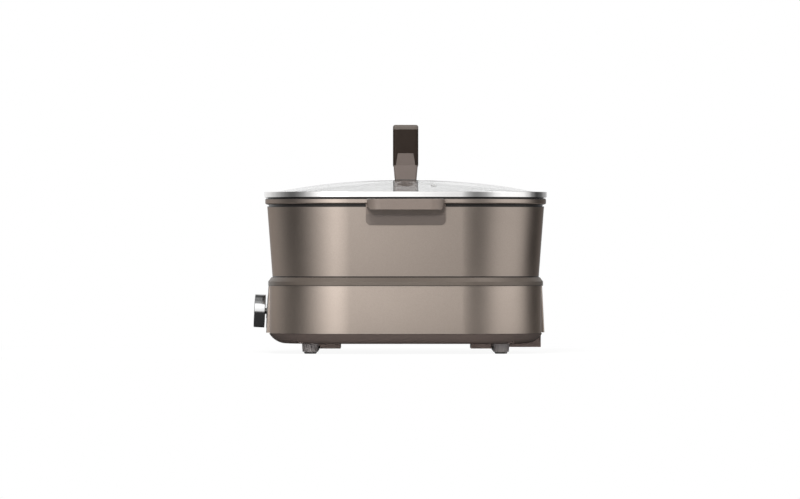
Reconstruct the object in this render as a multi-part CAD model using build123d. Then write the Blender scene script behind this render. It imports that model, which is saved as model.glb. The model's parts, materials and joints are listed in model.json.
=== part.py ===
"""Electric hot pot for the table, modelled piece by piece.

A rounded-rectangular base holds a tubular heater over a reflector tray, a spring-loaded
temperature sensor, a rotary heat control and a mains inlet. A cast aluminium pot with two moulded
side grips stands in the well of the base and lifts out. A domed glass lid with a steel rim and
an arched handle lies on the pot.

Units are millimetres. Z is up and Z = 0 is the table. The control knob faces -Y, the inlet +Y,
and the side grips of the pot lie on the X axis. While it is built, the object is centred on its
own outline; each piece is then moved along Y, so that the origin ends up under the middle of the
whole object's box.
"""

from build123d import *
import math
import os

# ---- The outline that every level shares, measured over the deck ring ----
length = 374.0
depth = 274.8
corner = 82.0

# ---- Heights of the base, from the table upwards ----
foot_height = 10.0
cover_height = 10.0
shell_height = 47.6
deck_ring_height = 8.4

cover_bottom = foot_height
shell_bottom = cover_bottom + cover_height
shell_top = shell_bottom + shell_height
deck_top = shell_top + deck_ring_height

# ---- Shell and deck ----
shell_setback = 1.7
shell_wall = 1.0
shell_hole_gap = 1.0
seam_gap = 0.4
deck_chamfer_height = 4.1
deck_land = 0.4
deck_rim_wall = 0.7
well_gap = 0.8
well_draft = 2.5
shelf_thickness = 2.2
rebate_wall = 4.0
tray_ledge = 6.5
tray_boss_radius = 3.2
fit_gap = 0.1
cut_margin = 5.0

# ---- Bottom cover ----
cover_wall = 2.2
cover_bulge_radius = 20.3
cover_step = 0.8
rib_height = 4.0
rib_wall = 1.6
cover_lap = 2.0
foot_radius = 8.4
foot_draft = 4.0
foot_inset_x = 47.0
foot_inset_y = 42.5
foot_plug_radius = 5.6
foot_lip = 0.5
foot_lip_height = 1.4
pad_radius = 6.4
pad_height = 2.0
pad_chamfer = 0.9
pad_plug_radius = 4.2
pad_plug_height = 3.0
plinth_height = 5.8
plinth_inner_inset = 71.8
plinth_outer_inset = 41.4
plinth_length = 116.0
inlet_well_height = 4.5
inlet_well_inner_inset = 38.4
inlet_well_outer_inset = 1.1
inlet_well_length = 64.0
vent_count = 9
vent_pitch = 9.0
vent_width = 3.2
vent_length = 34.0
plinth_vent_length = 18.7

# ---- Screws that pull the cover up against the deck ----
tower_inset = 32.5
end_tower_inset = 20.0
tower_radius = 4.6
tower_split_z = 30.0
cover_screw_radius = 1.6
cover_screw_length = 16.0
cover_screw_seat_depth = 6.0
cover_screw_slack = 0.3
cover_screw_head_radius = 3.0
cover_screw_head_height = 2.0
screw_slot_width = 0.9
screw_slot_depth = 0.9
screw_slot_reach = 0.6
screw_head_bevel = 0.3

# ---- Pot ----
pot_sink = 18.0
pot_height = 96.8
pot_draft = 4.3
pot_wall = 3.5
pot_floor_thickness = 4.5
pot_bottom_radius = 13.0
pot_inner_radius = 14.0
flange_thickness = 5.8
flange_overhang = 1.8
flange_round = 1.4
groove_height = 2.2
groove_depth = 1.6
bead_width = 2.7
bead_height = 1.2

# ---- Side grips of the pot ----
grip_width = 77.0
grip_plate_width = 79.0
grip_reach = 23.0
grip_top_drop = 0.5
grip_top_thickness = 8.4
grip_plate_bottom_drop = 27.0
grip_plate_thickness = 3.6
grip_corner_radius = 14.0
grip_lip_thickness = 5.0
grip_lip_drop = 2.5
grip_lip_slope = 3.0
grip_edge_round = 1.6
plate_corner_radius = 5.0
ear_width = 58.0
ear_reach = 15.0
ear_root = 4.0
ear_thickness = 3.2
grip_screw_spacing = 38.0
grip_screw_radius = 1.9
grip_screw_head_radius = 3.4
grip_screw_head_height = 1.8
grip_screw_setback = 8.0
grip_screw_bite = 1.0
grip_screw_slack = 0.3

# ---- Lid: glass and steel rim ----
rim_overhang = 0.9
rim_height = 5.4
rim_wall = 0.8
rim_edge_round = 0.6
rim_top_lip = 6.0
rim_skirt_drop = 5.0
rim_skirt_gap = 1.6
glass_thickness = 3.8
dome_rise = 12.6
dome_start_inset = 6.4
vent_inset = 56.4
vent_y = 28.0
vent_eyelet_radius = 2.0
vent_hole_radius = 1.2
vent_lip = 0.9
vent_lip_thickness = 0.5
vent_lip_round = 0.35

# ---- Lid handle ----
handle_height = 55.7
handle_width = 25.5
handle_length = 148.0
handle_round = 3.0
cap_thickness = 4.5
grip_bar_thickness = 7.0
leg_end_height = 15.2
leg_lean = 4.0
leg_thickness = 12.0
leg_inner_draft = 1.5
leg_round = 10.0
cap_edge_round = 2.4
tongue_height = 12.0
tongue_top_width = 15.6
tongue_bottom_width = 19.4
tongue_depth = 3.6
tongue_sunk = 0.2
handle_foot_step = 0.5
handle_foot_round = 2.0
foot_base_width = 22.0
foot_base_length = 17.0
gasket_thickness = 1.0
washer_radius = 8.0
washer_thickness = 1.2
handle_screw_radius = 2.0
handle_screw_head_radius = 4.0
handle_screw_head_height = 2.2
handle_screw_length = 29.0
handle_screw_slack = 0.3
glass_hole_slack = 0.8

# ---- Heater, tray and sensor ----
tray_inset = 39.4
tray_flange = 10.0
tray_sheet = 0.8
tray_step = 2.5
tray_depth = 10.5
tray_draft = 10.0
tray_round = 4.0
tray_screw_inset = 3.6
tray_screw_corner_gap = 26.0
tray_screw_radius = 1.6
tray_screw_head_radius = 3.0
tray_screw_head_height = 1.8
tray_screw_length = 7.0
heater_radius = 3.5
heater_gap = 0.3
heater_edge_gap = 11.6
heater_dip_gap = 12.1
heater_bend = 24.0
heater_terminal_x = 15.0
heater_end_bend = 8.0
heater_end_drop = 21.0
heater_hole_gap = 1.0
bush_radius = 6.5
bush_height = 9.0
bush_neck_wall = 0.9
bush_neck_height = 1.5
tab_width = 6.3
tab_thickness = 0.8
tab_height = 9.0
saddle_width = 9.0
saddle_length = 10.0
saddle_gap = 0.05
saddle_wall = 1.2
saddle_arch = 3.0
seat_pad_radius = 6.0
seat_pad_height = 1.0
seat_pad_plug_radius = 3.0
seat_pad_inset_x = 37.0
seat_pad_inset_y = 45.4
sensor_gap = 0.1
sensor_radius = 12.0
sensor_cap_top = 2.5
sensor_skirt = 11.0
sensor_skirt_wall = 1.2
sensor_cap_bevel = 0.8
sensor_stem_radius = 3.0
sensor_stem_tail = 3.5
sensor_travel = 3.0
sensor_cup_gap = 0.4
sensor_cup_wall = 0.8
sensor_cup_rise = 8.5
sensor_cup_drop = 10.0
sensor_cup_flange = 6.0
stem_clip_radius = 5.0
stem_clip_thickness = 1.0
stem_clip_gap = 0.4
stem_clip_mouth = 3.0
spring_seat_gap = 0.05
spring_wire = 0.5
spring_radius = 7.6
spring_turns = 6

# ---- Front and rear panels ----
panel_lean = 2.8
panel_edge = 1.7
panel_end_inset = 17.0
panel_end_round = 1.36
rear_panel_half = 46.0

# ---- Knob and heat control ----
knob_height_on_shell = 21.4
knob_radius = 16.75
knob_thickness = 10.9
knob_gap = 1.9
knob_ring_wall = 1.9
knob_ring_bevel = 0.45
knob_face_recess = 0.6
knob_face_thickness = 1.4
knob_core_setback = 0.4
knob_core_skirt = 2.4
knob_core_web = 2.0
knob_boss_wall = 2.6
knob_rib_count = 6
knob_rib_wall = 1.2
bezel_radius = 17.4
bezel_width = 3.8
bezel_proud = 1.5
bezel_round = 0.7
bezel_sunk = 1.2
pointer_edge_gap = 1.5
pointer_length = 8.0
pointer_width = 1.6
pointer_depth = 0.5
shaft_radius = 3.0
shaft_flat = 0.8
shaft_clearance = 0.08
shaft_into_knob = 8.0
shaft_into_control = 3.0
control_bush_radius = 5.0
control_width = 27.0
control_height = 23.0
control_depth = 18.0
control_bevel = 2.5
control_tab_pitch = 8.0
control_tab_height = 7.5
control_nut_flat = 14.0
control_nut_thickness = 2.0
control_hole_gap = 0.6
indicator_x = 36.0
indicator_radius = 2.6
indicator_length = 4.4
indicator_proud = 0.6
indicator_round = 0.5

# ---- Mains inlet ----
inlet_flange_width = 50.0
inlet_flange_height = 25.0
inlet_flange_thickness = 1.9
inlet_flange_proud = 0.3
inlet_flange_corner = 5.0
inlet_body_width = 28.0
inlet_body_height = 20.4
inlet_body_depth = 20.0
inlet_mouth_width = 24.0
inlet_mouth_height = 16.4
inlet_mouth_depth = 17.0
inlet_mouth_bevel = 4.5
inlet_screw_spacing = 40.0
inlet_screw_radius = 1.6
inlet_screw_head_radius = 2.9
inlet_screw_head_height = 1.2
inlet_screw_length = 7.0
pin_width = 2.0
pin_height = 4.0
pin_spacing = 14.0
pin_offset = 2.0
pin_recess = 5.0
pin_tail = 8.0
pin_bevel = 0.5

# ---- Thermal cutout, lamp holder, earth tab and wiring, all inside the base ----
cutout_x = 52.0
cutout_y = -40.0
cutout_radius = 8.0
cutout_height = 9.0
cutout_ear_thickness = 1.0
cutout_ear_width = 9.0
cutout_screw_spacing = 24.0
cutout_screw_radius = 1.5
cutout_screw_length = 6.0
cutout_screw_head_radius = 2.8
cutout_screw_head_height = 1.6
cutout_tab_lift = 1.5
lamp_holder_radius = 5.0
lamp_holder_length = 14.0
lamp_holder_wall = 0.8
earth_tab_x = 0.0
earth_tab_y = 56.0
earth_tab_reach = 6.0
rivet_head_height = 0.9
sleeve_length = 11.0
sleeve_grip = 7.0
sleeve_wall = 0.5
wire_radius = 1.3
wire_bend = 4.0
wire_lead = 8.0
wire_short_lead = 5.0
wire_side = 30.0
wire_height = 22.0
wire_floor_gap = 1.7
wire_turn_inset = 54.0

# ---- Places that follow from the sizes above ----
shell_grow = -shell_setback
shell_inner_grow = shell_grow - shell_wall
pot_bottom = deck_top - pot_sink
flange_top = pot_bottom + pot_height
flange_bottom = flange_top - flange_thickness
lid_seat = flange_top + bead_height
draft_slope = math.tan(math.radians(pot_draft))
deck_chamfer_width = shell_setback + shell_wall + fit_gap + deck_rim_wall - deck_land
well_top_grow = -(deck_chamfer_width + deck_land)
pot_grow_at_deck = well_top_grow - well_gap
pot_grow_top = pot_grow_at_deck + (flange_bottom - deck_top) * draft_slope
flange_grow = pot_grow_top + flange_overhang
mouth_grow = pot_grow_top - pot_wall
shelf_top = pot_bottom - seat_pad_height
shelf_bottom = shelf_top - shelf_thickness
tray_top = shelf_top - tray_step
cover_screw_seat = tower_split_z - cover_screw_seat_depth
rim_top = lid_seat + rim_height
rim_grow = flange_grow + rim_overhang
glass_top = rim_top - rim_wall
glass_grow = rim_grow - rim_wall - fit_gap
plateau_top = glass_top + dome_rise
handle_top = plateau_top + handle_height
tray_floor = tray_top - tray_depth
heater_z = pot_bottom - heater_gap - heater_radius
sensor_top = pot_bottom - sensor_gap
sensor_cup_bottom = tray_floor - sensor_cup_drop
knob_z = shell_bottom + knob_height_on_shell
knob_back = bezel_proud + knob_gap
knob_front = knob_back + knob_thickness
lean_slope = math.tan(math.radians(panel_lean))
control_seat = fit_gap + shell_wall + panel_edge + (shell_top - knob_z + control_height / 2) * lean_slope
inlet_flange_sunk = inlet_flange_thickness - inlet_flange_proud
panel_reach = panel_edge + shell_height * lean_slope + shell_wall
front_panel_half = length / 2 - corner - panel_end_inset
foot_x = length / 2 - foot_inset_x
foot_y = depth / 2 - foot_inset_y
plinth_inner_y = depth / 2 - plinth_inner_inset
plinth_outer_y = depth / 2 - plinth_outer_inset
inlet_well_inner_y = depth / 2 - inlet_well_inner_inset
inlet_well_outer_y = depth / 2 - inlet_well_outer_inset
seat_pad_x = length / 2 - seat_pad_inset_x
seat_pad_y = depth / 2 - seat_pad_inset_y
heater_half_x = length / 2 - tray_inset - tray_flange - heater_edge_gap
heater_half_y = depth / 2 - tray_inset - tray_flange - heater_edge_gap
heater_dip = sensor_radius + sensor_cup_gap + sensor_cup_flange + heater_radius + heater_dip_gap
heater_end_z = heater_z - heater_end_drop
vent_x = length / 2 - vent_inset
heater_tab_tip = heater_end_z - tab_height
cutout_tab_z = tray_floor - tray_sheet - cutout_ear_thickness - cutout_height + cutout_tab_lift
earth_tab_tip = tray_floor - tray_sheet - tab_height
wire_low = cover_bottom + cover_wall + wire_radius + wire_floor_gap
wire_turn_y = depth / 2 - wire_turn_inset


def outline(grow, z):
    """The shared rounded rectangle at height z, grown outwards by grow on every side."""
    return Pos(0, 0, z) * RectangleRounded(length + 2 * grow, depth + 2 * grow, corner + grow)


def block(grow, low, high):
    """A straight block on the shared outline."""
    return extrude(outline(grow, low), high - low)


def drafted_block(grow_top, low, high, angle):
    """A block on the shared outline that narrows downwards by angle."""
    return extrude(outline(grow_top, high), high - low, dir=(0, 0, -1), taper=angle)


def rod(radius, low, high, x=0.0, y=0.0):
    """An upright round bar."""
    return Pos(x, y, (low + high) / 2) * Cylinder(radius, high - low)


def four(x, y):
    """The four points that mirror (x, y) in both axes."""
    return [(sx * x, sy * y) for sx in (-1, 1) for sy in (-1, 1)]


def tower_places():
    """The six screw towers: one near each corner and one in the middle of each end."""
    end_x = length / 2 - end_tower_inset
    corners = four(length / 2 - tower_inset, depth / 2 - tower_inset)
    return corners + [(-end_x, 0), (end_x, 0)]


def slotted_screw(radius, shank, head_radius, head_height):
    """A screw that points down from z = 0, where its head sits, with a cross in the head."""
    screw = Pos(0, 0, -shank / 2) * Cylinder(radius, shank)
    head = Pos(0, 0, head_height / 2) * Cylinder(head_radius, head_height)
    head = chamfer(head.edges().group_by(Axis.Z)[-1], head_height * screw_head_bevel)
    slot_length = 2 * head_radius * screw_slot_reach
    slot = Pos(0, 0, head_height) * Box(slot_length, screw_slot_width, 2 * screw_slot_depth)
    return screw + head - slot - Rot(0, 0, 90) * slot


# ---- Base: shell, deck, bottom cover ----


def panel_face(side):
    """The leaning face of a panel: origin at knob height, z pointing out of the base."""
    lean = math.radians(panel_lean)
    reach = depth / 2 + shell_grow + panel_edge + (shell_top - knob_z) * lean_slope
    return Plane(
        origin=(0, side * reach, knob_z),
        x_dir=(-side, 0, 0),
        z_dir=(0, side * math.cos(lean), math.sin(lean)),
    )


front = panel_face(-1)
rear = panel_face(1)


def panel(side, half_width):
    """A wedge-shaped cover plate on the flat of the shell, thicker towards the table."""
    wall = depth / 2 + shell_grow
    low, high = shell_bottom + seam_gap, shell_top - seam_gap / 2
    bottom_reach = wall + panel_edge + (shell_top - low) * lean_slope
    profile = Plane.YZ * Polyline(
        (side * wall, low),
        (side * bottom_reach, low),
        (side * (wall + panel_edge), high),
        (side * wall, high),
        close=True,
    )
    plate = extrude(make_face(profile), half_width, both=True)
    ends = plate.edges().filter_by(Axis.Z, tolerance=8).sort_by(Axis.Y)
    outer = ends[:2] if side < 0 else ends[-2:]
    return fillet(outer, panel_end_round)


panel_cut = 4 * panel_reach


def base_shell():
    """The painted steel band, open for the control bush, the indicator and the inlet."""
    band = block(shell_grow, shell_bottom + seam_gap / 2, shell_top)
    band -= block(shell_inner_grow, shell_bottom, shell_top)
    control_hole = Cylinder(control_bush_radius + shell_hole_gap, panel_cut)
    lamp_hole = Pos(-indicator_x, 0, 0) * Cylinder(indicator_radius + shell_hole_gap, panel_cut)
    inlet_hole = Box(inlet_body_width + shell_hole_gap, inlet_body_height + shell_hole_gap, panel_cut)
    band = band - front * control_hole - front * lamp_hole - rear * inlet_hole
    for side in (-1, 1):
        place = Pos(side * inlet_screw_spacing / 2, 0, 0)
        band -= rear * place * Cylinder(inlet_screw_radius, panel_cut)
    return band


def top_deck():
    """The moulded deck: the visible ring, the wall of the well, and the shelf under the pot."""
    ring = block(0, shell_top, deck_top)
    ring = chamfer(ring.edges().group_by(Axis.Z)[-1], deck_chamfer_height, deck_chamfer_width)
    well_wall = block(shell_inner_grow - fit_gap, shelf_bottom, shell_top)
    deck = ring + well_wall
    deck -= drafted_block(well_top_grow, shelf_top, deck_top, well_draft)
    rebate = block(-tray_inset + fit_gap, tray_top - tray_sheet, shelf_top)
    ledge_bottom = tray_top - tray_sheet - shelf_thickness
    under_rebate = block(-tray_inset + rebate_wall, ledge_bottom, shelf_bottom)
    deck = deck + under_rebate - rebate
    deck -= block(-tray_inset - tray_ledge, ledge_bottom - cut_margin, shelf_top)
    boss_bottom = tray_top - tray_screw_length
    for x, y in tray_screw_places():
        deck += rod(tray_boss_radius, boss_bottom, ledge_bottom + shelf_thickness / 2, x, y)
        deck -= rod(tray_screw_radius, boss_bottom - cut_margin, tray_top, x, y)
    for x, y in tower_places():
        deck += rod(tower_radius, tower_split_z, shelf_bottom + shelf_thickness / 2, x, y)
        screw_tip = cover_screw_seat + cover_screw_length
        deck -= rod(cover_screw_radius, tower_split_z - cut_margin, screw_tip, x, y)
    for x, y in four(seat_pad_x, seat_pad_y):
        deck -= rod(seat_pad_plug_radius, shelf_bottom - cut_margin, shelf_top + cut_margin, x, y)
    return deck


def tray_screw_places():
    """Six screws round the flange of the tray."""
    x = length / 2 - tray_inset - tray_screw_inset
    y = depth / 2 - tray_inset - tray_screw_inset
    return four(length / 2 - corner - tray_screw_corner_gap, y) + [(-x, 0), (x, 0)]


def bottom_cover():
    """The lower tray: bulged edge, foot bosses, vent plinths and the well below the inlet."""
    reach = math.sqrt(2 * cover_bulge_radius * cover_height - cover_height**2)
    full_grow = shell_grow + cover_step + cover_bulge_radius - reach

    def bowl(inset, low):
        radius = cover_bulge_radius - inset
        solid = block(full_grow - inset, low, low + 2 * radius)
        return fillet(solid.edges().group_by(Axis.Z)[0], radius)

    seam = shell_bottom - seam_gap / 2
    cover = bowl(0, cover_bottom) & block(full_grow + cut_margin, 0, seam)

    # Outer forms that stand below the bulge
    plinth_y = (plinth_inner_y + plinth_outer_y) / 2
    plinth_width = plinth_outer_y - plinth_inner_y
    plinth_low = cover_bottom - plinth_height
    plinth_high = cover_bottom + cover_wall
    for side in (-1, 1):
        cover += Pos(0, side * plinth_y, (plinth_low + plinth_high) / 2) * Box(
            plinth_length, plinth_width, plinth_high - plinth_low
        )
    well_y = (inlet_well_inner_y + inlet_well_outer_y) / 2
    well_width = inlet_well_outer_y - inlet_well_inner_y
    well_low = cover_bottom - inlet_well_height
    cover += Pos(0, well_y, (well_low + seam) / 2) * Box(inlet_well_length, well_width, seam - well_low)

    # The hollow inside
    top = seam + cut_margin
    inside = bowl(cover_wall, cover_bottom + cover_wall) & block(full_grow + cut_margin, 0, top)
    for side in (-1, 1):
        inside += Pos(0, side * plinth_y, (plinth_low + cover_wall + seam) / 2) * Box(
            plinth_length - 2 * cover_wall, plinth_width - 2 * cover_wall, seam - plinth_low - cover_wall
        )
    inside += Pos(0, well_y, (well_low + cover_wall + top) / 2) * Box(
        inlet_well_length - 2 * cover_wall, well_width - 2 * cover_wall, top - well_low - cover_wall
    )
    cover -= inside

    # The rib that locates the shell, and the screw towers
    rib = block(shell_inner_grow - fit_gap, seam - cover_lap, shell_bottom + rib_height)
    rib -= block(shell_inner_grow - fit_gap - rib_wall, seam - 2 * cover_lap, shell_bottom + 2 * rib_height)
    cover += rib
    whole_bowl = bowl(0, cover_bottom)
    for x, y in tower_places():
        cover += rod(tower_radius, cover_bottom, tower_split_z, x, y) & whole_bowl
    for x, y in tower_places():
        cover -= rod(cover_screw_head_radius + 2 * cover_screw_slack, 0, cover_screw_seat, x, y)
        cover -= rod(cover_screw_radius + cover_screw_slack, 0, tower_split_z + cut_margin, x, y)
    for x, y in four(foot_x, foot_y):
        cover -= rod(foot_plug_radius, 0, cover_bottom + 2 * cover_wall, x, y)

    # Air slots in both plinths and between them
    for side in (-1, 0, 1):
        slot = SlotOverall(plinth_vent_length if side else vent_length, vent_width, rotation=90)
        for n in range(vent_count):
            x = (n - (vent_count - 1) / 2) * vent_pitch
            cover -= Pos(x, side * plinth_y, 0) * extrude(slot, cover_bottom + 2 * cover_wall)
    return cover


def feet():
    """Four moulded feet, pressed through the cover and held by a lip above its wall."""
    legs = []
    for x, y in four(foot_x, foot_y):
        leg = Pos(x, y, cover_bottom) * extrude(
            Circle(foot_radius), cover_bottom - pad_height, dir=(0, 0, -1), taper=foot_draft
        )
        lip_low = cover_bottom + cover_wall
        lip_high = lip_low + foot_lip_height
        leg += rod(foot_plug_radius, cover_bottom - cover_wall, lip_high, x, y)
        lip = rod(foot_plug_radius + foot_lip, lip_low, lip_high, x, y)
        leg += chamfer(lip.edges().group_by(Axis.Z)[-1], foot_lip)
        legs.append(leg - rod(pad_plug_radius, 0, pad_height + pad_plug_height, x, y))
    return legs


def foot_pads():
    """Four rubber pads, each plugged into a foot."""
    pads = []
    for x, y in four(foot_x, foot_y):
        pad = rod(pad_radius, 0, pad_height, x, y)
        pad = chamfer(pad.edges().group_by(Axis.Z)[0], pad_chamfer)
        pads.append(pad + rod(pad_plug_radius, pad_height / 2, pad_height + pad_plug_height, x, y))
    return pads


def cover_screws():
    """Six screws up through the towers into the deck."""
    screw = Rot(180, 0, 0) * slotted_screw(
        cover_screw_radius, cover_screw_length, cover_screw_head_radius, cover_screw_head_height
    )
    return [Pos(x, y, cover_screw_seat) * screw for x, y in tower_places()]


# ---- Heater, tray, sensor ----


def reflector_tray():
    """The pressed steel tray below the heater, with a flange that hangs in the deck."""
    bowl_top_grow = -tray_inset - tray_flange
    flange = block(-tray_inset, tray_top - tray_sheet, tray_top)
    outer = drafted_block(bowl_top_grow + tray_sheet, tray_floor - tray_sheet, tray_top, tray_draft)
    outer = fillet(outer.edges().group_by(Axis.Z)[0], tray_round + tray_sheet)
    inner = drafted_block(bowl_top_grow, tray_floor, tray_top, tray_draft)
    inner = fillet(inner.edges().group_by(Axis.Z)[0], tray_round)
    tray = flange + outer - inner
    low, high = tray_floor - 2 * tray_sheet, tray_floor + tray_sheet
    tray -= rod(sensor_radius + sensor_cup_gap + sensor_cup_wall + fit_gap, low, high)
    for x, y in tray_screw_places():
        tray -= rod(tray_screw_radius + fit_gap, tray_top - 2 * tray_sheet, tray_top, x, y)
    for side in (-1, 1):
        tray -= rod(heater_radius + heater_hole_gap, low, high, side * heater_terminal_x, -heater_half_y)
    for x, y in cutout_screw_places():
        tray -= rod(cutout_screw_radius, low, high, x, y)
    tray -= rod(cutout_screw_radius, low, high, earth_tab_x, earth_tab_y)
    return tray


def tray_screws():
    """Six screws through the flange of the tray."""
    screw = slotted_screw(
        tray_screw_radius, tray_screw_length, tray_screw_head_radius, tray_screw_head_height
    )
    return [Pos(x, y, tray_top) * screw for x, y in tray_screw_places()]


def heater_path():
    """The centre line of the tubular heater: one loop with a dip round the sensor."""
    z = heater_z
    x, y, dip, term = heater_half_x, heater_half_y, heater_dip, heater_terminal_x
    left = [(-term, -y, heater_end_z), (-term, -y, z), (-x, -y, z), (-x, y, z)]
    left += [(-dip, y, z), (-dip, -dip, z)]
    right = [(-px, py, pz) for px, py, pz in reversed(left)]
    radii = [heater_end_bend] + [heater_bend] * 4
    return FilletPolyline(*(left + right), radius=radii + radii[::-1])


def heating_tube():
    """The sheathed heating element."""
    path = heater_path()
    return sweep(Plane(origin=path @ 0, z_dir=path % 0) * Circle(heater_radius), path=path)


def heater_bushes():
    """Ceramic bushes where the element goes down through the tray."""
    seat = tray_floor - tray_sheet
    neck_top = tray_floor + bush_neck_height
    bushes = []
    for side in (-1, 1):
        x, y = side * heater_terminal_x, -heater_half_y
        bush = rod(bush_radius, seat - bush_height, seat, x, y)
        bush += rod(heater_radius + bush_neck_wall, seat - bush_neck_height, neck_top, x, y)
        bushes.append(bush - rod(heater_radius + saddle_gap, 0, neck_top, x, y))
    return bushes


def heater_tabs():
    """Spade terminals at the cold ends of the element."""
    tabs = []
    for side in (-1, 1):
        tab = Pos(side * heater_terminal_x, -heater_half_y, heater_end_z - tab_height / 2) * Box(
            tab_width, tab_thickness, tab_height
        )
        tabs.append(tab)
    return tabs


def heater_saddles():
    """Pressed saddles that carry the element above the tray."""
    z = heater_z
    places = [(-heater_half_x, 0, 0), (heater_half_x, 0, 0)]
    for side in (-1, 1):
        places.append((side * (heater_half_x + heater_dip) / 2, heater_half_y, 90))
        places.append((side * (heater_half_x + heater_terminal_x) / 2, -heater_half_y, 90))
    upright = Pos(0, 0, (tray_floor + z) / 2) * Box(saddle_length, saddle_width, z - tray_floor)
    channel = Pos(0, 0, z) * Rot(90, 0, 0) * Cylinder(heater_radius + saddle_gap, 2 * saddle_width)
    hollow = Pos(0, 0, tray_floor) * Box(
        saddle_length - 2 * saddle_wall, 2 * saddle_width, 2 * saddle_arch
    )
    saddle = upright - channel - hollow
    return [Pos(x, y, 0) * Rot(0, 0, turn) * saddle for x, y, turn in places]


def seat_pads():
    """Silicone buttons in the shelf that carry the pot."""
    pads = []
    for x, y in four(seat_pad_x, seat_pad_y):
        pad = rod(seat_pad_radius, shelf_top, pot_bottom, x, y)
        pads.append(pad + rod(seat_pad_plug_radius, shelf_bottom, pot_bottom, x, y))
    return pads


def sensor_cup():
    """The guide cup that hangs in the middle of the tray."""
    bore = sensor_radius + sensor_cup_gap
    cup = rod(bore + sensor_cup_wall, sensor_cup_bottom - sensor_cup_wall, tray_floor + sensor_cup_rise)
    cup += rod(bore + sensor_cup_flange, tray_floor, tray_floor + sensor_cup_wall)
    cup -= rod(bore, sensor_cup_bottom, tray_floor + sensor_cup_rise)
    return cup - rod(sensor_stem_radius + shaft_clearance, 0, sensor_cup_bottom)


def sensor_cap():
    """The aluminium cap that the pot presses down."""
    low = sensor_top - sensor_cap_top - sensor_skirt
    cap = rod(sensor_radius, low, sensor_top)
    cap = chamfer(cap.edges().group_by(Axis.Z)[-1], sensor_cap_bevel)
    cap -= rod(sensor_radius - sensor_skirt_wall, low, sensor_top - sensor_cap_top)
    stem_low = sensor_cup_bottom - sensor_cup_wall - sensor_travel - sensor_stem_tail
    return cap + rod(sensor_stem_radius, stem_low, sensor_top - sensor_cap_top / 2)


def stem_clip():
    """The retaining clip that stops the cap at the top of its travel."""
    top = sensor_cup_bottom - sensor_cup_wall - sensor_travel - stem_clip_gap
    clip = rod(stem_clip_radius, top - stem_clip_thickness, top)
    clip -= rod(sensor_stem_radius, top - stem_clip_thickness, top)
    mouth = Box(2 * stem_clip_radius, stem_clip_mouth, 3 * stem_clip_thickness)
    return clip - Pos(stem_clip_radius, 0, top) * mouth


def helix_path(radius, low, high, turns):
    """A helix as tangent arcs, two for each quarter turn."""
    steps = 4 * turns
    pitch = (high - low) / turns

    def point(n):
        angle = n * math.pi / 2
        return Vector(radius * math.cos(angle), radius * math.sin(angle), low + pitch * n / 4)

    def tangent(n):
        angle = n * math.pi / 2
        rise = pitch / (2 * math.pi)
        return Vector(-radius * math.sin(angle), radius * math.cos(angle), rise).normalized()

    arcs = []
    for n in range(steps):
        p0, p1, t0, t1 = point(n), point(n + 1), tangent(n), tangent(n + 1)
        chord, both = p1 - p0, t0 + t1
        a = 2 * (1 - t0.dot(t1))
        b = chord.dot(both)
        reach = (-b + math.sqrt(b * b + a * chord.dot(chord))) / a
        q0, q1 = p0 + t0 * reach, p1 - t1 * reach
        middle = (q0 + q1) * 0.5
        arcs.append(TangentArc(p0, middle, tangent=t0))
        arcs.append(TangentArc(middle, p1, tangent=q1 - q0))
    return Wire(arcs)


def sensor_spring():
    """The compression spring between the cup and the cap."""
    low = sensor_cup_bottom + spring_wire + spring_seat_gap
    high = sensor_top - sensor_cap_top - spring_wire - spring_seat_gap
    path = helix_path(spring_radius, low, high, spring_turns)
    print("spring gap between turns", round((high - low) / spring_turns - 2 * spring_wire, 2))
    return sweep(Plane(origin=path @ 0, z_dir=path % 0) * Circle(spring_wire), path=path)


# ---- Panels, knob, control, inlet ----


def front_panel():
    """The fascia behind the knob."""
    plate = panel(-1, front_panel_half)
    plate -= front * Cylinder(control_bush_radius + control_hole_gap, panel_cut)
    ring_seat = Cylinder(bezel_radius + fit_gap, bezel_sunk) - Cylinder(
        bezel_radius - bezel_width - fit_gap, bezel_sunk
    )
    plate -= front * Pos(0, 0, -bezel_sunk / 2) * ring_seat
    lamp_hole = Pos(-indicator_x, 0, 0) * Cylinder(indicator_radius + fit_gap, panel_cut)
    return plate - front * lamp_hole


def inlet_flange_outline(gap):
    """The flange of the inlet seen from behind the pot, grown by gap."""
    return RectangleRounded(
        inlet_flange_width + 2 * gap, inlet_flange_height + 2 * gap, inlet_flange_corner + gap
    )


def rear_panel():
    """The fascia round the inlet."""
    plate = panel(1, rear_panel_half)
    body_hole = Box(inlet_body_width + 2 * fit_gap, inlet_body_height + 2 * fit_gap, panel_cut)
    flange_seat = extrude(inlet_flange_outline(fit_gap), inlet_flange_thickness + panel_reach)
    plate = plate - rear * body_hole - rear * Pos(0, 0, -inlet_flange_sunk) * flange_seat
    for side in (-1, 1):
        place = Pos(side * inlet_screw_spacing / 2, 0, 0)
        plate -= rear * place * Cylinder(inlet_screw_radius, panel_cut)
    return plate


def knob_bezel():
    """The chromed ring let into the fascia."""
    ring = Cylinder(bezel_radius, bezel_sunk + bezel_proud)
    ring -= Cylinder(bezel_radius - bezel_width, bezel_sunk + bezel_proud)
    top_outer = ring.edges().group_by(Axis.Z)[-1].sort_by(SortBy.RADIUS)[-1]
    ring = fillet(top_outer, bezel_round)
    return front * Pos(0, 0, (bezel_proud - bezel_sunk) / 2) * ring


def indicator_lens():
    """The lamp window beside the knob."""
    lens = rod(indicator_radius, indicator_proud - indicator_length, indicator_proud)
    lens = fillet(lens.edges().group_by(Axis.Z)[-1], indicator_round)
    return front * Pos(-indicator_x, 0, 0) * lens


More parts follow.
